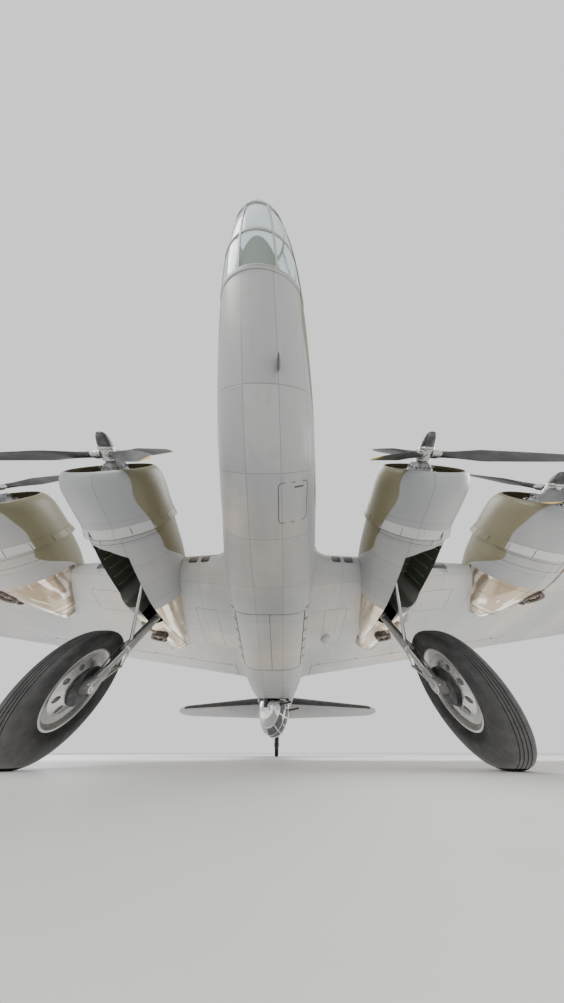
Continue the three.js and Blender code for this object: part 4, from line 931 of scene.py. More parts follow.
def top_dome():
    """The dome's glass, and the bars on it."""
    outer, inner = ([(r * math.sin(t), max(r * math.cos(t), 1e-4)) for t in np.linspace(0, math.pi / 2, 15)]
                    for r in (DOME_RADIUS, DOME_RADIUS - 0.01))
    centre = np.array((0, DOME_S, DOME_Z))

    def bar(levels, angles, width, loop=False):
        ways = [np.array((math.cos(up) * math.cos(turn), math.cos(up) * math.sin(turn), math.sin(up)))
                for up in levels for turn in angles]
        return band([(centre + 0.466 * way, way) for way in ways], width, 0.008, loop)
    bars = [bar(np.linspace(0.02, 1.35, 14), (turn,), 0.022) for turn in FRAME_TURNS]
    for level, width in ((0.03, 0.05), (0.75, 0.02), (1.35, 0.024)):
        bars.append(bar((level,), around(64), width, True))
    return placed(turned(outer + inner[::-1], 64, "z"), Matrix.Translation(centre)), joined(*bars)


def cockpit_liner():
    shell = carved(hump_body(0.047, 3.06), minus=[hump_body(0.056, 3.07)],
                   keep=[block((-1, 3.09, 1.08), (1, 4.8, 2.0))])
    return carved(shell, minus=[block((-0.35, 3.98, 0.9), (0.35, 5.0, 2.1))])


def under_point(s, x):
    """A place on the hull's lower skin, and its way out."""
    half_width, _, _, square = curve(HULL, s)[0]
    lean = math.acos(min(abs(x) / half_width, 1.0) ** (square / 2))
    return hull_point(s, -lean if x > 0 else lean - math.pi)


def skin_line(spots, width, thickness, loop=False):
    """A flat strip on the hull's lower skin through places given as s and x."""
    return band([under_point(s, x) for s, x in spots], width, thickness, loop)


def nose_hatch():
    outline = rounded([(3.47, 0.24), (4.2, 0.24), (4.2, 0.77), (3.47, 0.77)], 0.08)
    handle = [(3.56, 0.52), (3.56, 0.6), (3.56, 0.68)]
    return joined(skin_line(finer(outline, 2), 0.016, 0.006, True), skin_line(handle, 0.03, 0.02))


DOOR_HINGES = (6.62, 7.08, 7.58, 8.04, 8.47, 8.90)


def door_hinges(side):
    """Short hinge straps beside a belly door, and the dark joint round its opening."""
    out = side * 0.88
    straps = [skin_line([(s, side * x) for x in (0.888, 0.925, 0.965)], 0.024, 0.022) for s in DOOR_HINGES]
    edge = skin_line([(s, out) for s in np.linspace(6.68, 9.37, 24)], 0.012, 0.005)
    ends = [skin_line([(s, x) for x in np.linspace(0.0, out, 16)], 0.012, 0.005) for s in (6.683, 9.367)]
    return joined(*straps, edge, *ends)


def lap_bands():
    """Wide lap joints round the front of the hull."""
    angles = np.radians(np.arange(-205, 26, 3))
    return joined(*(band([hull_point(s, turn) for turn in angles], 0.05, 0.006) for s in (3.2, 4.72)))


def nose_mast():
    """The blade under the nose: a sharp section from its root on the skin to its tip."""
    x, s, length, rake, sunk = 0.26, 1.85, 0.3, 0.06, 0.04
    skin = hull_skin_z(s, x)
    section = [(0.5, 0.0), (0.2, 0.34), (-0.2, 0.5), (-0.42, 0.3), (-0.5, 0.0), (-0.42, -0.3), (-0.2, -0.5),
               (0.2, -0.34)]
    rings = []
    for share in np.linspace(0, 1, 8):
        chord, thick = 0.17 - 0.08 * share**1.6, 0.034 - 0.016 * share
        z = skin + sunk - (length + sunk) * share
        rings.append([(x + across * thick, s + rake * share + along * chord, z) for along, across in section])
    return loft(rings)


def nose_room():
    """What shows through the clear nose: a floor, a seat on its post, and a shelf with boxes."""
    floor = carved(block((-0.7, 0.45, -0.615), (0.7, 3.1, -0.6)), keep=[hull_body(0.4, 3.2, 0.062)])
    ribs = [block((-0.3, s, -0.6), (0.3, s + 0.03, -0.588)) for s in np.arange(0.9, 3.0, 0.3)]
    shelf = block((-0.55, 1.1, -0.2), (-0.36, 1.9, -0.18), 0.004)
    stand = [post(0.12, 1.0, -0.6, -0.33, 0.035, sides=20),
             block((-0.02, 0.9, -0.6), (0.26, 1.1, -0.58), 0.01)]
    boxes = [block((-0.53, 1.2, -0.18), (-0.38, 1.4, 0.02), 0.012),
             block((-0.54, 1.5, -0.18), (-0.4, 1.64, -0.04), 0.01)]
    seat = [block((-0.09, 0.82, -0.33), (0.33, 1.2, -0.25), 0.03),
            block((-0.08, 1.17, -0.25), (0.32, 1.24, 0.12), 0.03)]
    return [(joined(floor, *ribs, shelf), CABIN), (joined(*stand, *boxes), DARK), (joined(*seat), SEAT)]


nose_glass = carved(nose_shell(), minus=[nose_shell(0.01)])
dome_glass, dome_bars = top_dome()
piece("hull_front", [(front_hull(), PAINT_HULL)], "fuselage_front")
piece("hull_bay", [(bay_hull(), PAINT_HULL), (bay_frames(), CABIN)], "fuselage_bay")
piece("hull_rear", [(rear_hull(), PAINT_HULL)], "fuselage_rear")
piece("hull_cone", [(tail_cone(), PAINT_HULL)], "tail_cone")
piece("nose_glass", [(nose_glass, CLEAR)], "nose_glazing")
piece("nose_frames", [(nose_frames(), PAINT_HULL)])
piece("cockpit_panes", [(cockpit_liner(), CLEAR)], "cockpit_glass")
piece("dome_glass", [(dome_glass, CLEAR)], "top_dome", "top_dome")
piece("dome_frames", [(dome_bars, PAINT_HULL)], None, "top_dome")
piece("nose_hatch_seam", [(nose_hatch(), SEAM)])
piece("hull_bands", [(lap_bands(), PAINT_HULL)])
piece("nose_blade", [(nose_mast(), DARK)])
piece("nose_fittings", nose_room())
piece("crew_door_skin", [(crew_door(), PAINT_HULL)], "crew_door", "crew_door")
for label, side in SIDES:
    door = f"bay_door_{label}"
    piece(f"bay_door_skin_{label}", [(bay_door(side), PAINT_HULL)], door, door)
    piece(f"bay_hinges_{label}", [(door_hinges(side), SEAM)])
    piece(f"waist_frame_{label}", [(waist_frame(side), PAINT_HULL)])


# Wings and tail surfaces

WING_ROOT, WING_TIP, WING_ROUND = 0.85, 15.815, 14.4
INCIDENCE = math.radians(3.5)
FLAP_INNER, FLAP_OUTER, FLAP_FROM = 1.35, 8.9, 0.84
AILERON_INNER, AILERON_OUTER, AILERON_HINGE = 9.1, 14.3, 0.78
TRAILING_HALF = 0.01


def section(f):
    """Half thickness of a wing section along its chord, where its greatest is 1."""
    f = np.asarray(f, float)
    return 10 * (0.2969 * np.sqrt(f) - 0.126 * f - 0.3516 * f**2 + 0.2843 * f**3 - 0.1015 * f**4)


def camber_shape(f):
    """Rise of a section's middle line along its chord, where its greatest is 1."""
    crest = 0.4
    f = np.clip(f, 0, 1)
    return np.where(f < crest, (2 * crest * f - f * f) / crest**2,
                    (1 - 2 * crest + 2 * crest * f - f * f) / (1 - crest) ** 2)


def round_end(x, start, reach):
    """Falls from 1 at start to 0 at the end of its reach, as a quarter circle."""
    end = np.clip((x - start) / reach, 0, 1)
    return math.sqrt(max(1 - end * end, 0))


def wing_at(x):
    """Chord, s and z of the quarter chord, half thickness, camber and how far the tip thins the wing."""
    inset = 1 - round_end(x, WING_ROUND, WING_TIP - WING_ROUND)
    leading = 5.45 + 0.145 * x + 0.85 * inset + 0.36 * inset**3
    trailing = 11.24 - 0.06 * x - 0.7 * inset - 0.36 * inset**3
    straight = 5.79 - 0.205 * x
    chord = (trailing - leading) / math.cos(INCIDENCE)
    thin = (1 - 0.6 * inset) * round_end(x, 15.35, WING_TIP - 15.35)
    half = 0.5 * (0.18 - 0.08 * x / WING_TIP) * straight * thin
    camber = 0.02 * straight * (1 - 0.6 * inset)
    return chord, leading + 0.25 * (trailing - leading), -0.56 + 0.0787 * x, half, camber, thin


def wing_point(side, x, f, above):
    chord, quarter_s, quarter_z, _, camber, _ = wing_at(x)
    along = (f - 0.25) * chord
    up = camber * camber_shape(f) + above
    sin, cos = math.sin(INCIDENCE), math.cos(INCIDENCE)
    return places(side * x, quarter_s + along * cos + up * sin, quarter_z - along * sin + up * cos)


def wing_half(x, f):
    _, _, _, half, _, thin = wing_at(x)
    return half * section(f) + TRAILING_HALF * np.asarray(f) * thin


def wing_share(x, s):
    """Share of the chord that lies ahead of s."""
    chord, quarter_s = wing_at(x)[:2]
    return 0.25 + (s - quarter_s) / chord


SHARES = (1 + np.cos(np.linspace(0, math.pi, 46))) / 2 * 0.9998 + 0.0002
FLARE_FROM, FLARE_REACH, FLARE_SHARE = 1.12, 0.42, 0.25


def flare(x, f):
    """How far a place on the wing's nose moves forward where the wing meets the hull."""
    left = np.clip(1 - (x - FLARE_FROM) / FLARE_REACH, 0, 1)
    return FLARE_REACH * (1 - np.sqrt(1 - left**2)) * np.maximum(1 - np.asarray(f) / FLARE_SHARE, 0) ** 2


def wing_ring(side, x):
    half = wing_half(x, SHARES)
    upper = wing_point(side, x, SHARES, half)
    lower = wing_point(side, x, SHARES[::-1], -half[::-1])
    ring = np.vstack((upper, lower))
    ring[:, 1] -= flare(x, np.concatenate((SHARES, SHARES[::-1])))
    return ring


WING_STATIONS = np.r_[
    WING_ROOT, 1.0, FLARE_FROM + FLARE_REACH * (1 - np.sin(np.linspace(math.pi / 2, 0, 16))),
    np.arange(FLARE_FROM + FLARE_REACH + 0.2, WING_ROUND, 0.27),
    WING_ROUND + (WING_TIP - WING_ROUND) * np.sin(np.linspace(0, math.pi / 2, 22)[:-1]), WING_TIP - 5e-4]


def wing_body(side):
    return loft([wing_ring(side, x) for x in WING_STATIONS])


def along_wing(side, x, f, along, up):
    """Places off the wing's middle at a share of its chord, in its own directions."""
    sin, cos = math.sin(INCIDENCE), math.cos(INCIDENCE)
    return wing_point(side, x, f, 0.0) + places(0.0, along * cos + up * sin, -along * sin + up * cos)


def control_outline(radius, reach):
    """Outline of a hinged part's room: a round nose about the hinge, then all that is aft of it."""
    turn = np.pi / 2 + np.linspace(0, 1, 14) * np.pi
    nose = np.column_stack((radius * np.cos(turn), radius * np.sin(turn)))
    spare = radius + 0.03
    return np.vstack(([[reach, spare], [0.002, spare]], nose, [[0.002, -spare], [reach, -spare]]))


def aileron_room(side, gap, end):
    rings = []
    for x in np.linspace(AILERON_INNER - end, AILERON_OUTER + end, 12):
        outline = control_outline(wing_half(x, AILERON_HINGE) + gap, 1.5)
        rings.append(along_wing(side, x, AILERON_HINGE, outline[:, 0], outline[:, 1]))
    return loft(rings)


def flap_room(side, split, front, end):
    rings = []
    for x in np.linspace(FLAP_INNER - end, FLAP_OUTER + end, 10):
        start = FLAP_FROM - front / wing_at(x)[0]
        corners = ((1.1, -split), (start, -split), (start, -0.9), (1.1, -0.9))
        rings.append([wing_point(side, x, f, up) for f, up in corners])
    return loft(rings)


def well(side):
    outline = [(side * (ENGINES[0][1] + out), s) for out, s in rounded(WELL_OUTLINE, 0.07, 4)]
    return prism(outline, "z", WELL_LOW, WELL_ROOF)


# Air inlets in the leading edge: from and to along the wing
INLETS = ((1.62, 1.86), (1.95, 2.22), (4.35, 5.15), (7.36, 7.56), (7.72, 7.92))
INLET_HALF, INLET_DROP = 0.075, 0.06
# Teardrop blisters under the wing: side, x, s
BLISTERS = ((1, 4.10, 7.95), (-1, 4.10, 7.85), (1, 1.65, 8.50))
BLISTER_PROFILE = [(-0.24, 0.0), (-0.215, 0.055), (-0.14, 0.105), (0.0, 0.133), (0.16, 0.094), (0.27, 0.045),
                   (0.34, 0.0)]


def inlet_room(side, x0, x1):
    """A box with rounded corners that goes into the leading edge along the wing's middle."""
    (_, s0, z0), (_, s1, z1) = (wing_point(1, x, 0.0, 0.0) for x in (x0, x1))
    half, lead = INLET_HALF, (s0 + s1) / 2
    corners = rounded([(x0, z0 - half), (x1, z1 - half), (x1, z1 + half), (x0, z0 + half)], 0.045, 4)
    return loft([[(side * x, lead + back, z - INLET_DROP) for x, z in corners] for back in (-0.3, 0.34)])


def inlet_core(side, x0, x1):
    """The grille at the back of an inlet."""
    (_, s0, z0), (_, s1, z1) = (wing_point(1, x, 0.0, 0.0) for x in (x0, x1))
    lead, height = (s0 + s1) / 2, (z0 + z1) / 2 - INLET_DROP
    bars = [block((x - 0.012, lead + 0.13, height - 0.1), (x + 0.012, lead + 0.33, height + 0.1))
            for x in side * np.arange(x0 + 0.02, x1 - 0.01, 0.035)]
    return carved(joined(*bars), keep=[wing_body(side)])


def blister(side, x, s):
    f = wing_share(x, s)
    middle = wing_point(side, x, f, -wing_half(x, f))
    return placed(turned(spline(BLISTER_PROFILE, 24), 44), Matrix.Translation(middle))


def wing(side):
    cuts = [hull_body(2.0, 14.0), well(side), flap_room(side, -0.003, 0.014, 0.018),
            aileron_room(side, 0.008, 0.026)]
    cuts += [inlet_room(side, x0, x1) for x0, x1 in INLETS]
    bumps = [blister(side, x, s) for on_side, x, s in BLISTERS if on_side == side]
    return carved(wing_body(side), plus=bumps, minus=cuts)


def flap(side):
    return carved(wing_body(side), keep=[flap_room(side, 0.003, 0.0, 0.0)])


def control_rings(place, half_at, stations, hinge, rib):
    """Rings of a cloth-covered control: a round nose, then skins that sag between the ribs."""
    rings = []
    sag = 0.006
    shares = np.linspace(0, 1, 16)
    turn = np.linspace(np.pi / 2, 3 * np.pi / 2, 12)
    f = hinge + (1 - hinge) * shares
    for x in stations:
        radius = half_at(x, hinge)
        between = sag * abs(math.sin(math.pi * x / rib))
        half = half_at(x, f)
        hollow = between * np.sin(np.pi * np.clip(shares * 1.02, 0, 1)) * np.clip(half / 0.03, 0, 1)
        upper = place(x, f[::-1], (half - hollow)[::-1])
        nose = place(x, None, np.column_stack((radius * np.cos(turn), radius * np.sin(turn)))[1:-1])
        lower = place(x, f, -(half - hollow))
        rings.append(np.vstack((upper, nose, lower)))
    return rings


def aileron(side):
    def place(x, f, up):
        if f is None:
            return along_wing(side, x, AILERON_HINGE, up[:, 0], up[:, 1])
        return wing_point(side, x, f, up)
    stations = np.arange(AILERON_INNER, AILERON_OUTER + 1e-6, 0.065)
    return loft(control_rings(place, wing_half, stations, AILERON_HINGE, 0.325))


# Tail surfaces

TAILPLANE_Z, ELEVATOR_HINGE_S = 0.35, 19.45
ELEVATOR_INNER, ELEVATOR_OUTER = 0.62, 6.1
RUDDER_HINGE_S, RUDDER_LOW, RUDDER_HIGH = 19.95, 0.82, 4.48
TAIL_EDGE = 0.008
CONTROL_GAP = 0.008


def tailplane_row(x):
    """Leading edge, trailing edge, half thickness and how far the tip thins the tailplane."""
    inset = 1 - round_end(x, 5.6, 6.55 - 5.6)
    thin = (1 - 0.6 * inset) * round_end(x, 6.25, 0.3)
    leading, trailing = 17.35 + 0.22 * x + 0.7 * inset, 20.75 - 0.09 * x - 0.5 * inset
    return leading, trailing, 0.5 * (0.12 - 0.03 * x / 6.55) * (3.4 - 0.31 * x) * thin, thin


def fin_row(z):
    leading, trailing, thickness = curve(FIN, z)[0]
    thin = round_end(z, 4.45, 4.77 - 4.45)
    return leading, trailing, 0.5 * (thickness * thin), thin


def tail_half(row, level, s):
    """Half thickness of a tail surface at a station and s."""
    leading, trailing, half, thin = row(level)
    f = np.clip((np.asarray(s) - leading) / (trailing - leading), 0, 1)
    return half * section(f) + TAIL_EDGE * f * thin


def on_tailplane(side):
    return lambda x, s, up: places(side * x, s, TAILPLANE_Z + up)


def on_fin(z, s, across):
    return places(across, s, z)


def tail_body(place, row, stations):
    rings = []
    for level in stations:
        leading, trailing, _, _ = row(level)
        s = leading + SHARES * (trailing - leading)
        half = tail_half(row, level, s)
        rings.append(np.vstack((place(level, s, half), place(level, s, -half)[::-1])))
    return loft(rings)


def control_room(place, row, hinge_s, low, high):
    """Room in a tail surface for the control behind it."""
    rings = []
    for level in np.linspace(low - CONTROL_GAP, high + CONTROL_GAP, 14):
        outline = control_outline(tail_half(row, level, hinge_s) + CONTROL_GAP, 1.8)
        rings.append(place(level, hinge_s + outline[:, 0], outline[:, 1]))
    return loft(rings)


def tail_control(place, row, hinge_s, stations, rib):
    """The rudder or an elevator, from its hinge line to its trailing edge."""
    def s_at(level, f):
        return hinge_s + np.asarray(f) * (row(level)[1] - hinge_s)

    def spot(level, f, up):
        if f is None:
            return place(level, hinge_s + up[:, 0], up[:, 1])
        return place(level, s_at(level, f), up)

    def half_at(level, f):
        return tail_half(row, level, s_at(level, f))
    return loft(control_rings(spot, half_at, stations, 0.0, rib))


def tailplane(side):
    place = on_tailplane(side)
    stations = np.r_[np.arange(0.1, 5.6, 0.25), 5.6 + 0.95 * np.sin(np.linspace(0, math.pi / 2, 16)[:-1]),
                     6.5495]
    room = control_room(place, tailplane_row, ELEVATOR_HINGE_S, ELEVATOR_INNER, ELEVATOR_OUTER)
    return carved(tail_body(place, tailplane_row, stations), minus=[hull_body(16.5, CONE_END), room])


def elevator(side):
    stations = np.arange(ELEVATOR_INNER, ELEVATOR_OUTER + 1e-4, 0.0685)
    return tail_control(on_tailplane(side), tailplane_row, ELEVATOR_HINGE_S, stations, 0.274)


def fin():
    stations = np.r_[np.linspace(0.6, 2.7, 24), np.linspace(2.8, 4.4, 14),
                     4.45 + 0.32 * np.sin(np.linspace(0.1, 1.56, 10))]
    room = control_room(on_fin, fin_row, RUDDER_HINGE_S, RUDDER_LOW, RUDDER_HIGH)
    return carved(tail_body(on_fin, fin_row, stations), minus=[hull_body(BAY_END, HULL_END), room])


def rudder():
    return tail_control(on_fin, fin_row, RUDDER_HINGE_S, np.linspace(RUDDER_LOW, RUDDER_HIGH, 62), 0.305)


def boot(side):
    """The ribbed rubber boot on a tailplane's leading edge."""
    rings = []
    shares = np.linspace(0.075, 0, 14)
    ridge = 0.004 + 0.004 * np.abs(np.sin(np.linspace(0, 4.5 * np.pi, len(shares))))
    ridge[0] = -0.004
    ahead = ridge * np.clip(1 - shares / 0.012, 0, 1)
    for x in np.linspace(0.75, 6.0, 40):
        leading, trailing, _, _ = tailplane_row(x)
        s = leading + shares * (trailing - leading)
        up = tail_half(tailplane_row, x, s) + ridge * (shares > 0)
        upper, lower = (on_tailplane(side)(x, s - ahead, face * up) for face in (1, -1))
        rings.append(np.vstack((upper, lower[::-1][1:])))
    return loft(rings)


def fillet(side, face):
    """A curved fairing between the hull and the wing's upper or lower skin, wider towards the rear."""
    def on_wing(x, f):
        return wing_point(side, x, f, wing_half(x, f) * face)
    rings = []
    root = 1.0
    for f in np.linspace(0.015, 1.0, 44):
        reach = 0.15 + 0.30 * f**2
        foot = on_wing(root, f) - (0, flare(root, f), 0)
        half_width, top, bottom, square = curve(HULL, foot[1])[0]
        middle, half = spread(top, bottom)
        rise = face * min(reach, max(0.84 * half - abs(foot[2] - middle), 0.05))
        up = np.clip(abs(foot[2] + rise - middle) / half, 0, 0.98)
        power = square if foot[2] + rise < middle else 2
        wall = half_width * (1 - up**power) ** (1 / power) - 0.006
        out = wall + reach
        at_wing = on_wing(out, f) - (0, flare(out, f), face * 0.004)
        at_hull = np.array((side * wall, foot[1], foot[2] + rise))
        corner = np.array((side * (wall - 0.01), foot[1], foot[2]))
        bend = corner + (side * 0.02, 0, face * 0.01)
        arc = [at_hull * (1 - t) ** 2 + 2 * t * (1 - t) * bend + at_wing * t**2
               for t in np.linspace(0, 1, 12)]
        inside = np.array((side * (wall - 0.05), foot[1], foot[2] - face * 0.03))
        rings.append(arc + [at_wing - (0, 0, face * 0.03), inside, at_hull - (side * 0.05, 0, 0)])
    return loft(rings)


FLAP_FITTINGS = (1.62, 3.0, 4.4, 5.8, 7.2, 8.6)


def wing_under(side, x, s):
    """A place under the wing at x and s, and its way out."""
    def spot(px, pf):
        return wing_point(side, px, pf, -wing_half(px, pf))
    f = wing_share(x, s)
    here = spot(x, f)
    normal = np.cross(spot(x, f - 0.005) - here, spot(x + 0.02, f) - here) * side
    normal *= -np.sign(normal[2]) / np.linalg.norm(normal)
    return here, normal


def wing_line(side, spots, width, thickness, loop=False):
    return band([wing_under(side, x, s) for x, s in spots], width, thickness, loop)


def flap_edge(x, ahead):
    """s of a place ahead of the flap's front edge."""
    chord, quarter_s = wing_at(x)[:2]
    return quarter_s + (FLAP_FROM - 0.25) * chord - ahead


def wing_seams(side):
    """Panel outlines by the inner nacelle, and the black stops along the flap's front edge."""
    parts = []
    for x0, x1, s0, s1 in ((1.5, 2.12, 7.15, 8.9), (4.3, 5.4, 6.9, 7.7), (7.6, 8.3, 7.5, 8.1)):
        outline = rounded([(x0, s0), (x1, s0), (x1, s1), (x0, s1)], 0.06, 4)
        parts.append(wing_line(side, finer(outline, 4), 0.011, 0.003, True))
    stations = np.linspace(FLAP_INNER - 0.02, FLAP_OUTER + 0.02, 40)
    parts.append(wing_line(side, [(x, flap_edge(x, 0.03)) for x in stations], 0.011, 0.003))
    for x in FLAP_FITTINGS:
        spot, normal = wing_under(side, x, flap_edge(x, 0.06))
        parts.append(rod(spot - normal * 0.02, spot + normal * 0.012, 0.026, sides=20, edge=0.005))
    return joined(*parts)


for label, side in SIDES:
    grilles = joined(*(inlet_core(side, x0, x1) for x0, x1 in INLETS))
    flap_name, aileron_name = f"flap_{label}", f"aileron_{label}"
    piece(f"wing_seams_{label}", [(wing_seams(side), SEAM)])
    piece(f"wing_skin_{label}", [(wing(side), PAINT_WING)], f"wing_{label}")
    piece(f"wing_fillet_{label}", [(fillet(side, face), PAINT_WING) for face in (-1, 1)])
    piece(f"inlet_grilles_{label}", [(grilles, GRILLE)])
    piece(f"flap_skin_{label}", [(flap(side), PAINT_WING)], flap_name, flap_name)
    piece(f"aileron_cloth_{label}", [(aileron(side), PAINT_WING)], aileron_name, aileron_name)
    piece(f"tailplane_skin_{label}", [(tailplane(side), PAINT_TAILPLANE)], f"tailplane_{label}")
    piece(f"elevator_cloth_{label}", [(elevator(side), PAINT_TAILPLANE)], f"elevator_{label}",
          "elevators")
    piece(f"tail_boot_{label}", [(boot(side), BOOT)])
piece("fin_skin", [(fin(), PAINT_FIN)], "fin")
piece("rudder_cloth", [(rudder(), PAINT_FIN)], "rudder", "rudder")


# Nacelles, turbochargers and cowls

def belly(name, z, s):
    """Height of a nacelle's lowest line."""
    return z + curve(NACELLES[name], s)[0][2]


def nacelle(side, name, x, z):
    start, end = NACELLES[name][0][0], NACELLES[name][-1][0]
    stations = np.linspace(start, end, 40)
    half_width, top, bottom = curve(NACELLES[name], stations).T[..., None]
    middle, half = spread(top, bottom)
    turn = half_steps(72)
    rings = list(places(side * x + half_width * np.cos(turn), stations[:, None],
                        z + middle + half * np.sin(turn)))
    if name == "inner":
        return carved(loft(rings), minus=[well(side)])
    last, centre = rings[-1], rings[-1].mean(0)
    rings[-1:] = [(last - centre) * share + centre for share in (1.0, 0.6)]
    rings[-2][:, 1] = end - 0.02
    rings[-1][:, 1] = end - 1e-3
    return loft(rings)


def nacelle_line(side, name, x, z, spots, width, thickness):
    """A flat strip on a nacelle's lower skin, through places given as s and a turn outboard from below."""
    pairs = []
    for s, turn in spots:
        half_width, top, bottom = curve(NACELLES[name], s)[0]
        middle, half = spread(top, bottom)
        pairs.append(((side * (x + half_width * math.sin(turn)), s, z + middle - half * math.cos(turn)),
                      (side * math.sin(turn) / half_width, 0, -math.cos(turn) / half)))
    return band(pairs, width, thickness)


# Dark joints across a nacelle, and the short one between them; then the frame at its end
NACELLE_JOINTS = {"inner": (4.56, 4.655), "outer": (5.42, 5.66)}
NACELLE_ENDS = {"inner": (8.78, 8.98), "outer": (7.62,)}


def nacelle_seams(side, name, x, z):
    start, end = NACELLE_JOINTS[name]
    half_turn = np.radians(np.linspace(-72, 72, 30))

    def line(stations, angles, width, thickness):
        spots = [(s, turn) for s in stations for turn in angles]
        return nacelle_line(side, name, x, z, spots, width, thickness)
    joints = [line((s,), half_turn, 0.011, 0.004) for s in (start, end)]
    joints.append(line((start - 0.06, start, end), (0.05,), 0.014, 0.004))
    frame_lines = [line((s,), half_turn * 0.9, 0.024, 0.01) for s in NACELLE_ENDS[name]]
    return [(joined(*joints), SEAM), (joined(*frame_lines), HOT_STEEL if name == "inner" else TURBO_RING)]


# Way of the pipe to the turbocharger: distance outboard of the engine, s, and how deep it is sunk
PIPE_WAYS = {
    "inner": ((0.1, 6.95, 0.06), (0.12, 7.12, 0.03), (0.1, 7.35, 0.04), (0.03, 7.6, 0.03),
              (0.02, 7.86, 0.02)),
    "outer": ((0.33, 5.34, 0.06), (0.33, 5.7, 0.05), (0.31, 6.05, 0.04), (0.26, 6.35, 0.03),
              (0.22, 6.6, 0.02)),
}


def pipe_path(side, name, x, z):
    """Middle of the pipe from below; its end is the middle of the turbocharger."""
    path = []
    for out, s, sunk in PIPE_WAYS[name]:
        half_width = curve(NACELLES[name], s)[0][0]
        drop = 1 - math.sqrt(max(1 - (out / half_width) ** 2, 0))
        path.append((side * (x + out), s, belly(name, z, s) * (1 - drop) + z * drop + sunk))
    return path


def pipe(side, name, x, z):
    """The exhaust pipe, half sunk in the nacelle, wider where it leaves the skin, with its clamps."""
    path = pipe_path(side, name, x, z)
    line = spline(path, 40)
    radii = (0.03, 0.07, 0.082, 0.078, 0.07, 0.064, 0.062, 0.066, 0.08)
    parts = [tube(path, radii, 28, 40)]
    for i, radius in ((10, 0.086), (20, 0.076), (30, 0.07)):
        ahead = line[i + 1] - line[i]
        ahead /= np.linalg.norm(ahead)
        parts.append(rod(line[i] - ahead * 0.016, line[i] + ahead * 0.016, radius, sides=32, edge=0.005))
    return joined(*parts)


def pointed(turn):
    """How far the nozzle ring reaches at a turn: round, with a point ahead and one behind."""
    return 1 + 0.24 * abs(math.sin(turn)) ** 7


def turbo(side, name, x, z):
    """The turbocharger seen from below: pointed nozzle ring with bolts, and the wheel in it."""
    px, s, pz = pipe_path(side, name, x, z)[-1]
    slope = (belly(name, z, s + 0.15) - belly(name, z, s - 0.15)) / 0.3
    place = Matrix.Translation((px, s, pz - 0.035)) @ Matrix.Rotation(math.atan(slope), 4, "X")
    section = ((0.122, 0.0), (0.124, -0.03), (0.145, -0.052), (0.185, -0.05), (0.205, -0.028), (0.212, 0.02),
               (0.212, 0.14), (0.122, 0.14))
    rings, bolts = [], []
    for turn in around(72):
        out = np.array((math.cos(turn), math.sin(turn), 0)) * pointed(turn)
        rings.append([out * r + (0, 0, height) for r, height in section])
    for turn in around(20):
        reach = 0.166 * pointed(turn)
        bolts.append(post(reach * math.cos(turn), reach * math.sin(turn), -0.066, -0.04, 0.008, sides=6))
    gate = tube([(0.0, 0.25, 0.02), (0.005, 0.31, 0.0), (0.02, 0.36, 0.03)], (0.05, 0.042, 0.05), 18, 10)
    hub = turned([(-0.034, 0.0), (-0.032, 0.03), (-0.02, 0.052), (0.0, 0.062), (0.02, 0.066), (0.02, 0.0)],
                 36, "z")
    disc = turned([(0.02, 0.0), (0.02, 0.13), (0.03, 0.13), (0.03, 0.0)], 48, "z")
    vane = block((0.06, -0.0018, -0.016), (0.12, 0.0018, 0.022))
    vanes = copies(vane, [turn @ Matrix.Rotation(0.5, 4, "X") for turn in turns(40, "Z")])
    dark = placed(joined(loft(rings, loop=True), *bolts, gate), place)
    return dark, placed(joined(hub, disc, vanes), place)


def cowl():
    """The smooth ring round the engine, and the fixed inner wall behind its lip."""
    outer = [(0.0, 0.6), (0.012, 0.628), (0.04, 0.654), (0.1, 0.684), (0.2, 0.714), (0.32, 0.732),
             (0.6, 0.739), (1.04, 0.742)]
    inner = [(1.04, 0.728), (0.6, 0.724), (0.32, 0.716), (0.2, 0.69), (0.1, 0.655), (0.04, 0.61),
             (0.008, 0.58), (0.0, 0.588)]
    return turned(np.vstack((spline(outer, 30), spline(inner, 22)[:-1])), 96)


GILLS = 14


def cowl_gills():
    """The band of hinged gills behind the cowl: curved plates that stand open, but for one at the bottom."""
    parts = []
    open_plate = ((1.052, 0.748), (1.13, 0.762), (1.228, 0.781), (1.228, 0.774), (1.13, 0.755), (1.052, 0.74))
    shut_plate = ((1.052, 0.744), (1.13, 0.745), (1.228, 0.745), (1.228, 0.738), (1.13, 0.738),
                  (1.052, 0.737))
    for i in range(GILLS):
        profile = shut_plate if i == GILLS // 2 else open_plate
        rings = []
        for share in np.linspace(i - 0.482, i + 0.482, 8) / GILLS:
            turn = share * 2 * math.pi
            out = np.array((math.sin(turn), 0, math.cos(turn)))
            rings.append([out * r + (0, s, 0) for s, r in profile])
        parts.append(loft(rings))
    hinge = turned([(1.03, 0.74), (1.035, 0.746), (1.06, 0.747), (1.065, 0.741)], 96)
    wall = turned([(1.06, 0.733), (1.175, 0.736), (1.175, 0.70), (1.06, 0.72)], 72)
    return joined(*parts, hinge, wall)


# Engines

CYLINDERS = 9
CYLINDER_S = 0.43


def cylinder():
    """One finned cylinder with its head and rocker boxes, standing up along z."""
    barrel = [(0.2, 0.0), (0.2, 0.085)]
    fins = [(0.26 + 0.018 * k, 0.085, 0.118) for k in range(12)]
    fins += [(0.49 + 0.018 * k, 0.08, 0.119 - 0.0035 * k) for k in range(9)]
    for low, core, wide in fins:
        barrel += [(low, core), (low + 0.002, wide), (low + 0.007, wide), (low + 0.009, core)]
    barrel += [(0.66, 0.06), (0.66, 0.0)]
    boxes = [rod((lean * 0.06, -0.05, 0.6), (lean * 0.085, -0.07, 0.685), 0.042, 0.036, 14, 0.01)
             for lean in (-1, 1)]
    return joined(turned(barrel, 20, "z"), *boxes)


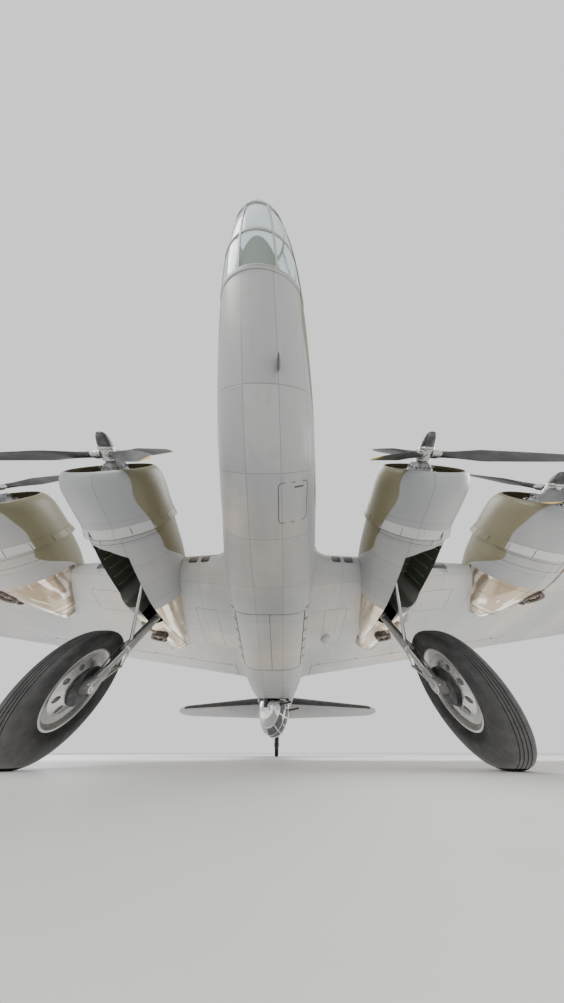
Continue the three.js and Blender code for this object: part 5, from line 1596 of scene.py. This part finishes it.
def hoop(s, radius, thick, steps, sides):
    """A round ring about the shaft line."""
    return turned([(s + thick * math.cos(t), radius + thick * math.sin(t)) for t in around(steps)], sides)


def engine_parts():
    spokes = turns(CYLINDERS)
    pushes, leads = [], []
    for lean in (-1, 1):
        pushes.append(rod((lean * 0.035, 0.13, 0.2), (lean * 0.078, 0.36, 0.62), 0.014, sides=10))
        lead = [(lean * 0.06, 0.1, 0.255), (lean * 0.1, 0.24, 0.4), (lean * 0.05, 0.33, 0.56)]
        leads.append(tube(lead, 0.007, 8, 10))
    intake = tube([(0.13, 0.6, 0.3), (0.15, 0.56, 0.46), (0.06, 0.52, 0.6)], 0.034, 12, 10)
    heads = copies(cylinder(), [spoke @ Matrix.Translation((0, CYLINDER_S, 0)) for spoke in spokes])
    case = turned([(-0.128, 0.0), (-0.128, 0.088), (-0.1, 0.095), (-0.06, 0.14), (0.02, 0.19), (0.09, 0.215),
                   (0.16, 0.235), (0.25, 0.262), (0.6, 0.262), (0.6, 0.0)], 64)
    shaft = rod((0, -0.3, 0), (0, -0.12, 0), 0.048)
    governor = rod((0, -0.05, 0.14), (0, -0.05, 0.22), 0.035, sides=16, edge=0.006)
    bolts = copies(rod((0, 0.0, 0.195), (0, -0.03, 0.195), 0.011, sides=6), turns(18))
    firewall = turned([(0.75, 0.0), (0.75, 0.72), (0.77, 0.722), (0.77, 0.0)], 72)
    rear = turned([(0.6, 0.0), (0.6, 0.25), (0.75, 0.3), (1.175, 0.3), (1.175, 0.0)], 48)
    wires = joined(copies(joined(*pushes), spokes), hoop(0.085, 0.255, 0.02, 12, 64),
                   copies(joined(*leads, intake), spokes))
    return [(joined(case, shaft, governor, bolts), CASTING), (heads, FINS), (wires, BLACK),
            (hoop(0.62, 0.54, 0.055, 14, 72), BURNT), (joined(firewall, rear), DARK)]


# Propellers

TIP_FROM, TIP_ROUND = 1.665, 1.70


def blade_rings(radii):
    """Rings of a blade, round at its root and a wing section further out."""
    rings = []
    count = 24
    shares = (1 - np.cos(np.linspace(0, math.pi, count // 2 + 1))) / 2
    turn = around(count)
    f = np.concatenate((shares[:-1], shares[:0:-1]))
    for radius in radii:
        chord, thickness, twist = curve(BLADE, radius)[0]
        if radius > TIP_ROUND:
            chord *= math.sqrt(max(1 - ((radius - TIP_ROUND) / 0.066) ** 2, 0.02)) * 0.9 + 0.02
        half = 0.5 * thickness * section(np.clip(f, 0.0, 1.0)) + 0.002 * f
        flat = np.where(np.arange(count) < count // 2, half, -half * 0.35)
        blend = np.clip((radius - 0.3) / 0.25, 0, 1)
        blend = blend * blend * (3 - 2 * blend)
        along = 0.5 * chord * np.cos(turn) * (1 - blend) + (0.5 - f) * chord * blend
        across = 0.5 * thickness * np.sin(turn) * (1 - blend) + flat * blend
        sin, cos = math.sin(math.radians(twist)), math.cos(math.radians(twist))
        rings.append(places(-along * cos - across * sin, -along * sin + across * cos, radius))
    return rings


def propeller_parts():
    blade = loft(blade_rings(np.linspace(0.16, TIP_FROM, 34)))
    tip = loft(blade_rings(np.r_[np.linspace(TIP_FROM, 1.74, 6), 1.752, 1.76, 1.764]))
    clamp = joined(post(0, 0, 0.1, 0.2, 0.078, sides=28, edge=0.008), post(0, 0, 0.2, 0.235, 0.066, 0.062),
                   axle(-0.09, 0.09, 0, 0.15, 0.018, sides=12))
    spokes = [Matrix.Translation((0, -0.25, 0)) @ turn for turn in turns(3)]
    dome = turned([(-0.655, 0.0), (-0.65, 0.03), (-0.635, 0.052), (-0.6, 0.07), (-0.54, 0.088), (-0.46, 0.1),
                   (-0.385, 0.105), (-0.385, 0.0)], 48)
    barrel = turned([(-0.385, 0.0), (-0.385, 0.112), (-0.375, 0.119), (-0.34, 0.119), (-0.33, 0.108),
                     (-0.17, 0.108), (-0.16, 0.118), (-0.132, 0.118), (-0.132, 0.0)], 48)
    return [(copies(blade, spokes), BLACK), (copies(tip, spokes), YELLOW),
            (joined(copies(clamp, spokes), barrel), STEEL), (dome, DARK)]


def mounted(parts, matrix):
    return [(placed(shape, matrix), look) for shape, look in parts]


engine, propeller = engine_parts(), propeller_parts()
for label, side in SIDES:
    for name, x, z, lip in ENGINES:
        tag = f"{name}_{label}"
        mount = Matrix.Translation((side * x, lip, z))
        casing, wheel = turbo(side, name, x, z)
        exhaust = [(pipe(side, name, x, z), BURNT), (casing, TURBO_RING), (wheel, HOT_STEEL)]
        skin, look = nacelle(side, name, x, z), PAINT_NACELLE[name]
        piece(f"nacelle_skin_{tag}", [(skin, look)], f"nacelle_{tag}")
        piece(f"exhaust_{tag}", exhaust, f"turbo_{tag}")
        piece(f"cowl_ring_{tag}", mounted([(cowl(), PAINT_COWL[name])], mount), f"cowl_{tag}")
        piece(f"cowl_flaps_{tag}", mounted([(cowl_gills(), PAINT_GILLS[name])], mount))
        piece(f"nacelle_seams_{tag}", nacelle_seams(side, name, x, z))
        piece(f"radial_{tag}", mounted(engine, mount), f"engine_{tag}")
        piece(f"prop_{tag}", mounted(propeller, mount), f"propeller_{tag}", f"propeller_{tag}")


# Main gear

GROUND_TURN = Matrix.Rotation(LEAN, 4, "X")


def flats(sides):
    """How far from the middle a round solid of so many sides has its flats, if its corners are at 1."""
    return math.cos(math.pi / sides)


def tyre_profile(radius, half, inner, grooves):
    """From one bead round the crown to the other, with grooves in the tread."""
    wall = radius - inner
    side = [(-half * 0.62, inner), (-half * 0.86, inner + 0.05), (-half * 0.985, inner + wall * 0.35),
            (-half, inner + wall * 0.5), (-half * 0.97, inner + wall * 0.68), (-half * 0.86, radius * 0.938),
            (-half * 0.68, radius * 0.978), (-half * 0.45, radius * 0.996)]
    left = spline(side, 26).tolist()
    wide, deep = 0.007, 0.012
    tread = []
    for place in grooves:
        crown = radius * (1 - 0.004 * (place / (half * 0.45)) ** 2)
        for across, down in ((-wide, 0), (-wide * 0.6, deep), (wide * 0.6, deep), (wide, 0)):
            tread.append((place + across, crown - down))
    return left + tread + [(-x, r) for x, r in reversed(left)]


def circle_spots(radius, count):
    return [(radius * math.cos(turn), radius * math.sin(turn)) for turn in around(count)]


def wheel_parts(radius, half, inner, bore, grooves, hub):
    """A tyre and its rim: tyre radius and half width, rim radius and bore, grooves, half the hub."""
    tyre = turned(tyre_profile(radius, half, inner, grooves), 120, "x", math.pi / 120)
    edge = half * 0.62
    left = [(-hub, bore), (-hub, inner * 0.3), (-hub * 0.9, inner * 0.36), (-edge * 0.45, inner * 0.7),
            (-edge * 0.5, inner * 0.86), (-edge * 0.92, inner * 0.93), (-edge - 0.012, inner * 0.985),
            (-edge - 0.012, inner + 0.012), (-edge, inner + 0.014), (-edge * 0.9, inner)]
    rim = turned(left + [(-x, r) for x, r in reversed(left)], 96, "x")
    rim = carved(rim, minus=[axle(-1, 1, s, z, inner * 0.085) for s, z in circle_spots(inner * 0.56, 8)])
    bolts = [axle(face * hub * 0.88, face * hub, s, z, inner * 0.022, sides=6)
             for s, z in circle_spots(inner * 0.31, 10) for face in (-1, 1)]
    return tyre, joined(rim, *bolts)


def main_leg(side):
    """The leg from its pivot to the axle, with its drag strut, scissors, brake hose and drum."""
    hub, wheel = side * 2.93, side * WHEEL_X
    pivot_s, pivot_z = 7.05, -0.96
    strut_s, strut_z = 5.65, -0.86
    top, foot = np.array((hub, pivot_s, pivot_z)), np.array((hub, WHEEL_S, WHEEL_Z))

    def at(share, out=0.0):
        return top + (foot - top) * share + (0, out, 0)
    strut_top = (hub, strut_s, strut_z)
    steel = [axle(side * x0, side * x1, pivot_s, pivot_z, radius, edge=edge) for x0, x1, radius, edge in
             ((2.792, 3.038, 0.045, 0.0), (2.80, 2.86, 0.075, 0.01), (2.97, 3.03, 0.075, 0.01))]
    steel += [rod(top, at(0.56), 0.088, 0.098, 32), rod(at(0.52), at(0.62), 0.1, sides=32, edge=0.01),
              rod(at(0.05), at(0.1), 0.097, sides=32, edge=0.01),
              rod(at(0.86), at(1.04), 0.085, 0.095, 28, 0.01),
              rod(at(0.55), strut_top, 0.03), post(hub, strut_s, strut_z, WELL_ROOF - 0.001, 0.038),
              axle(hub - 0.08, hub + 0.08, strut_s, strut_z, 0.048, edge=0.008),
              axle(hub - side * 0.08, wheel - side * 0.172, WHEEL_S, WHEEL_Z, 0.095, edge=0.01),
              rod(foot, (wheel + side * 0.188, WHEEL_S, WHEEL_Z), 0.052, edge=0.006)]
    joints = [at(0.6, 0.07), at(0.76, 0.2), at(0.93, 0.07)]
    for lean in (-1, 1):
        shift = np.array((lean * 0.045, 0, 0))
        steel.append(rod(joints[0] + shift, joints[1] + shift, 0.018, 0.014, 14))
        steel.append(rod(joints[1] + shift, joints[2] + shift, 0.014, 0.018, 14))
    steel += [rod(spot - (0.065, 0, 0), spot + (0.065, 0, 0), 0.02, sides=16) for spot in joints]
    chrome = rod(at(0.6), at(0.88), 0.066, sides=32)
    hose = tube([at(0.2, -0.11), at(0.5, -0.125), at(0.7, -0.19), at(0.9, -0.12),
                 foot + (side * 0.06, -0.09, 0.02)], 0.011, 10, 30)
    drum = placed(turned([(-0.03, 0.1), (-0.03, 0.2), (0.035, 0.215), (0.045, 0.1)], 56, "x"),
                  Matrix.Translation((wheel - side * 0.215, WHEEL_S, WHEEL_Z)))
    return [(joined(*steel), STEEL), (chrome, CHROME), (hose, BLACK), (drum, DARK)]


def well_lining(side):
    """Ribs, stringers and pipes on the walls of the wheel well."""
    def rib(s, out0, out1, half, low, high):
        x = ENGINES[0][1]
        return block((side * (x + out0), s - half, low), (side * (x + out1), s + half, high))
    parts = []
    for s in np.arange(4.95, 7.1, 0.26):
        parts.append(rib(s, -0.312, -0.285, 0.012, -0.95, -0.53))
        if s < 6.2:
            parts.append(rib(s, 0.475, 0.502, 0.012, -0.95, -0.53))
            parts.append(rib(s, -0.31, 0.5, 0.015, -0.55, -0.515))
    wall = side * (ENGINES[0][1] - 0.28)
    parts += [tube([(wall, s, z) for s in (4.98, 5.9, 7.1)], 0.014, 8, 8) for z in (-0.62, -0.74)]
    return joined(*parts)


tyre, rim = wheel_parts(0.7 * flats(20), 0.23, 0.42, 0.057, (-0.075, -0.025, 0.025, 0.075), 0.17)
for label, side in SIDES:
    stand = Matrix.Translation((side * WHEEL_X, WHEEL_S, WHEEL_Z)) @ GROUND_TURN
    wheel = f"wheel_{label}"
    piece(f"gear_leg_{label}", main_leg(side), f"main_leg_{label}", sharp=40)
    piece(f"tyre_rubber_{label}", mounted([(tyre, RUBBER)], stand), f"tyre_{label}", wheel)
    piece(f"wheel_rim_{label}", mounted([(rim, BARE)], stand), f"rim_{label}", wheel)
    piece(f"well_lining_{label}", [(well_lining(side), CABIN)])


# Tail gear

TAIL_WHEEL_S, SWIVEL_S, SEAT_Z = 18.55, 18.42, -0.53
tail_low, tail_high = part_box("tail_tyre")
TAIL_WHEEL_AT = TO_LEVEL @ ((tail_low + tail_high) / 2)


def tail_strut():
    steel = [rod((0, 18.31, -0.152), (0, SWIVEL_S, SEAT_Z + 0.06), 0.052, sides=28),
             rod((0, 17.88, -0.152), (0, SWIVEL_S - 0.02, SEAT_Z + 0.12), 0.03),
             post(0, SWIVEL_S, SEAT_Z + 0.11, SEAT_Z, 0.068, sides=32, edge=0.01),
             post(0, SWIVEL_S, SEAT_Z + 0.01, SEAT_Z - 0.06, 0.02)]
    return [(joined(*steel), STEEL), (rod((0, 18.335, -0.22), (0, 18.385, -0.38), 0.058, 0.056, 28), CHROME)]


def tail_fork():
    """The swivel under the strut, and an arm down each side of the wheel."""
    z = TAIL_WHEEL_AT.z
    top = SEAT_Z - 0.001
    parts = [post(0, SWIVEL_S, top - 0.068, top, 0.078, 0.07, 32, 0.01),
             block((-0.138, SWIVEL_S - 0.06, top - 0.066), (0.138, SWIVEL_S + 0.065, top - 0.004), 0.014)]
    for _, side in SIDES:
        near, far = side * 0.114, side * 0.14
        rings = []
        for share in np.linspace(0, 1, 12):
            s = SWIVEL_S + (TAIL_WHEEL_S - SWIVEL_S) * share
            height = top - 0.05 + (z - top + 0.05) * share
            deep = 0.055 - 0.018 * math.sin(share * math.pi) * 0.5
            corners = [(near, s - deep), (far, s - deep), (far, s + deep), (near, s + deep)]
            rings.append([(px, py, height) for px, py in rounded(corners, 0.008, 2)])
        parts += [loft(rings), axle(side * 0.113, side * 0.141, TAIL_WHEEL_S, z, 0.045, sides=28, edge=0.006)]
    parts.append(axle(-0.14, 0.14, TAIL_WHEEL_S, z, 0.02))
    return joined(*parts)


tyre, rim = wheel_parts(0.33 * flats(16), 0.1, 0.19, 0.0235, (-0.03, 0.0, 0.03), 0.108)
stand = Matrix.Translation(TAIL_WHEEL_AT) @ GROUND_TURN
piece("tail_leg", tail_strut(), "tail_strut")
piece("tail_fork_arms", [(tail_fork(), STEEL)], "tail_fork", "tail_fork")
piece("tail_tyre_rubber", mounted([(tyre, RUBBER)], stand), "tail_tyre", "tail_wheel")
piece("tail_wheel_rim", mounted([(rim, BARE)], stand), "tail_rim", "tail_wheel")


# Belly ball

BALL_PLACE = Matrix.Translation((0, BALL_S, BALL_Z)) @ Matrix.Rotation(BALL_AZIMUTH, 4, "Z")
PANE_LEVELS = (-0.34, -0.13, 0.13, 0.34)
PANE_ANGLES = np.radians((-50, -14, 24, 62, 100, 138, 176, 214, 262, 310))
# Which of the panels between those levels are clear, by the angle they start at
CLEAR_PANES = {0: (1,), 1: (0, 1, 2), 2: (0, 1, 2), 3: (0, 1, 2), 4: (1,)}
SHELL_RADIUS, BAR_RADIUS, PANEL_THICKNESS = 0.552, BALL_RADIUS - 0.006, 0.012


def ball_spot(x, turn, radius=BAR_RADIUS):
    """A place on the ball: x along its trunnions, turn from the front and down under."""
    ring = math.sqrt(radius * radius - x * x)
    return np.array((x, -ring * math.cos(turn), -ring * math.sin(turn)))


def ball_panel(x0, x1, t0, t1):
    share = 1 - PANEL_THICKNESS / SHELL_RADIUS
    return loft([[ball_spot(x, turn, SHELL_RADIUS) for x in np.linspace(x0, x1, 8)]
                 + [ball_spot(x, turn, SHELL_RADIUS) * share for x in np.linspace(x1, x0, 8)]
                 for turn in np.linspace(t0, t1, 10)])


def ball_bar(spots, width, thickness, loop=True):
    """A bar through places on the ball; the way out is the same as the place."""
    return strip(spots, spots, width, thickness, loop)


def ball_parts():
    caps, panes, plates, frames = [], [], [], []
    for _, side in SIDES:
        profile = [(side * x, math.sqrt(max(SHELL_RADIUS**2 - x * x, 0)))
                   for x in np.linspace(0.335, SHELL_RADIUS, 12)]
        caps.append(turned(profile + [(side * 0.50, 0.0), (side * 0.335, 0.30)], 72, "x"))
        caps.append(axle(side * 0.45, side * 0.578, 0, 0, 0.088, sides=32, edge=0.01))
        ring = 0.17
        x = math.sqrt(SHELL_RADIUS**2 - ring * ring)
        frames.append(ball_bar([np.array((side * x, s, z)) for s, z in circle_spots(ring, 40)], 0.024, 0.02))
    ends = np.r_[PANE_ANGLES[1:], PANE_ANGLES[0] + 2 * math.pi]
    for i, (t0, t1) in enumerate(zip(PANE_ANGLES, ends)):
        for j, (x0, x1) in enumerate(zip(PANE_LEVELS, PANE_LEVELS[1:])):
            target = panes if j in CLEAR_PANES.get(i, ()) else plates
            target.append(ball_panel(x0, x1, t0, t1))
    for turn in PANE_ANGLES:
        line = [ball_spot(x, turn) for x in np.linspace(-0.34, 0.34, 16)]
        frames.append(ball_bar(line, 0.03, 0.016, False))
    for x in PANE_LEVELS:
        frames.append(ball_bar([ball_spot(x, turn) for turn in around(72)], 0.036, 0.016))
    frames.append(ball_bar(front_circle(0.19), 0.03, 0.022))
    inside = turned([(-0.3, 0.0), (-0.3, 0.42), (0.0, 0.5), (0.3, 0.42), (0.3, 0.0)], 40, "x")
    rods, sleeves = [], []
    tip = -0.879
    for _, side in SIDES:
        x = side * 0.32
        rods.append(rod((x, -0.3, 0), (x, tip, 0), 0.02, sides=24, edge=0.004))
        sleeves.append(rod((x, -0.38, 0), (x, -0.5, 0), 0.045, 0.036, 28, 0.006))
        sleeves.append(rod((x, -0.86, 0), (x, tip, 0), 0.0218, sides=24))
    return [(joined(*caps, *plates, *frames), BALL_METAL), (joined(*panes), BALL_GLASS),
            (inside, DARK), (joined(*rods, *sleeves), BLACK)]


def front_circle(ring):
    """Places on a circle on the ball's front, a little below its middle."""
    ahead = math.sqrt(0.556**2 - ring * ring)
    tilt = Matrix.Rotation(math.radians(22), 3, "X")
    return [np.array(tilt @ Vector((x, -ahead, z))) for x, z in circle_spots(ring, 48)]


def ball_yoke():
    bar, hanger, skirt = -0.62 - BALL_Z, -0.3 - BALL_Z, -1.06 - BALL_Z
    ring = turned([(-0.012, 0.588), (-0.012, 0.645), (-0.006, 0.65), (0.006, 0.65), (0.012, 0.645),
                   (0.012, 0.588)], 96, "z")
    seal = turned([(-0.014, 0.575), (-0.014, 0.59), (0.012, 0.59), (0.012, 0.575)], 96, "z")
    parts = [moved(seal, z=skirt), block((-0.64, -0.07, bar - 0.03), (0.64, 0.07, bar + 0.03), 0.01),
             post(0, 0, bar, hanger - 0.001, 0.06, sides=32), post(0, 0, hanger - 0.02, hanger + 0.12, 0.03)]
    for _, side in SIDES:
        parts.append(block((side * 0.6, -0.07, -0.08), (side * 0.64, 0.07, bar + 0.03), 0.012))
        parts.append(axle(side * 0.605, side * 0.51, 0, 0, 0.0295, sides=28))
    return [(joined(moved(ring, z=-0.9 - BALL_Z), moved(ring, z=skirt)), RING_PAINT), (joined(*parts), DARK)]


piece("ball_shell", mounted(ball_parts(), BALL_PLACE), "belly_ball", "belly_ball", sharp=40)
piece("ball_ring", mounted(ball_yoke(), BALL_PLACE), "ball_yoke", "ball_yoke")


# Tail end and what is left of the CAD nodes

def tail_end():
    """The clear tail end, the bars on it, and the cap that closes it."""
    step = 0.05
    inside = hull_body(CONE_END - 0.1, HULL_END - 0.02, 0.014, step)
    shell = carved(hull_body(CONE_END, HULL_END, step=step), minus=[inside])
    bars = []
    for turn in np.radians((20, 55, 90, 125, 160, 200, 235, 270, 305, 340)):
        along = np.linspace(CONE_END + 0.02, HULL_END - 0.02, 14)
        bars.append(band([hull_point(s, turn, 0.002) for s in along], 0.03, 0.012))
    for s, width in ((CONE_END + 0.03, 0.05), (21.72, 0.03), (22.1, 0.03), (HULL_END - 0.03, 0.04)):
        bars.append(band([hull_point(s, turn, 0.002) for turn in around(60)], width, 0.012, loop=True))
    front, back = HULL_END - 0.012, HULL_END - 0.001
    cap = turned([(front, 0.0), (front, 0.125), (back, 0.12), (back, 0.0)], 40)
    return shell, joined(*bars), moved(cap, z=0.195)


end_glass, end_bars, end_cap = tail_end()
piece("tail_end_glass", [(end_glass, CLEAR)], "tail_glazing")
piece("tail_end_frames", [(end_bars, PAINT_HULL), (end_cap, PAINT_HULL)])


def repaint(node, material):
    mesh = frame["nodes"][node].data
    mesh.materials.clear()
    mesh.materials.append(material)


repaint("cockpit_floor", CABIN)
for label, _ in SIDES:
    repaint(f"waist_pane_{label}", CLEAR)


# Floor, light and camera

def flat_square(name, size, material):
    corners = [(-size, -size, 0), (size, -size, 0), (size, size, 0), (-size, size, 0)]
    mesh = mesh_from((np.array(corners, float), [(0, 1, 2, 3)]), name)
    made = bpy.data.objects.new(name, mesh)
    mesh.materials.append(material)
    bpy.context.scene.collection.objects.link(made)


flat_square("floor", 150, simple("floor_paint", (0.78, 0.78, 0.77), (0.74, 0.74, 0.73), 0.6, 0.0, 0.4, 0))


def area_light(name, place, target, size, power, colour=(1, 1, 1), height=None):
    """A round light, or an oval one where it has a height."""
    light = bpy.data.lights.new(name, "AREA")
    light.shape, light.size, light.energy, light.color = "ELLIPSE", size, power, colour
    light.size_y = height or size
    made = bpy.data.objects.new(name, light)
    made.location = place
    made.rotation_mode = "QUATERNION"
    made.rotation_quaternion = (Vector(target) - Vector(place)).to_track_quat("-Z", "Y")
    bpy.context.scene.collection.objects.link(made)
    return made


HALF_WAY_UP = (0, 0, 2.5)
WARM, WARMER, COOL = (1.0, 0.97, 0.93), (1.0, 0.95, 0.88), (0.92, 0.96, 1.0)
area_light("front_fill", (-10, -26, 9), HALF_WAY_UP, 9, 2900, WARM)
area_light("side_fill", (24, -8, 9), HALF_WAY_UP, 9, 2100, WARMER)
area_light("rear_fill", (-20, 16, 9), HALF_WAY_UP, 9, 1500, COOL)
area_light("top_light", (4, -4, 24), (0, 0, 0), 18, 4200)
for _, side in SIDES:
    glow = area_light("floor_glow", (side * 6.5, -2.5, 0.02), (side * 6.5, -2.5, 9), 12, 300, WARM, 10)
    glow.visible_camera = False

world = bpy.data.worlds.new("studio")
world.use_nodes = True
backdrop = world.node_tree.nodes["Background"]
backdrop.inputs["Color"].default_value = (0.79, 0.8, 0.81, 1)
backdrop.inputs["Strength"].default_value = 1.35
bpy.context.scene.world = world

CAMERA_PLACE = (0.3, -8.8, 0.12)
CAMERA_PITCH = math.radians(60)
CAMERA_LENS = 5.2
camera_data = bpy.data.cameras.new("floor_camera")
camera_data.lens = CAMERA_LENS
camera_data.clip_start, camera_data.clip_end = 0.05, 500
camera = bpy.data.objects.new("floor_camera", camera_data)
camera.location = CAMERA_PLACE
camera.rotation_euler = (math.pi / 2 + CAMERA_PITCH, 0, 0)
bpy.context.scene.collection.objects.link(camera)
bpy.context.scene.camera = camera
bpy.context.view_layer.update()
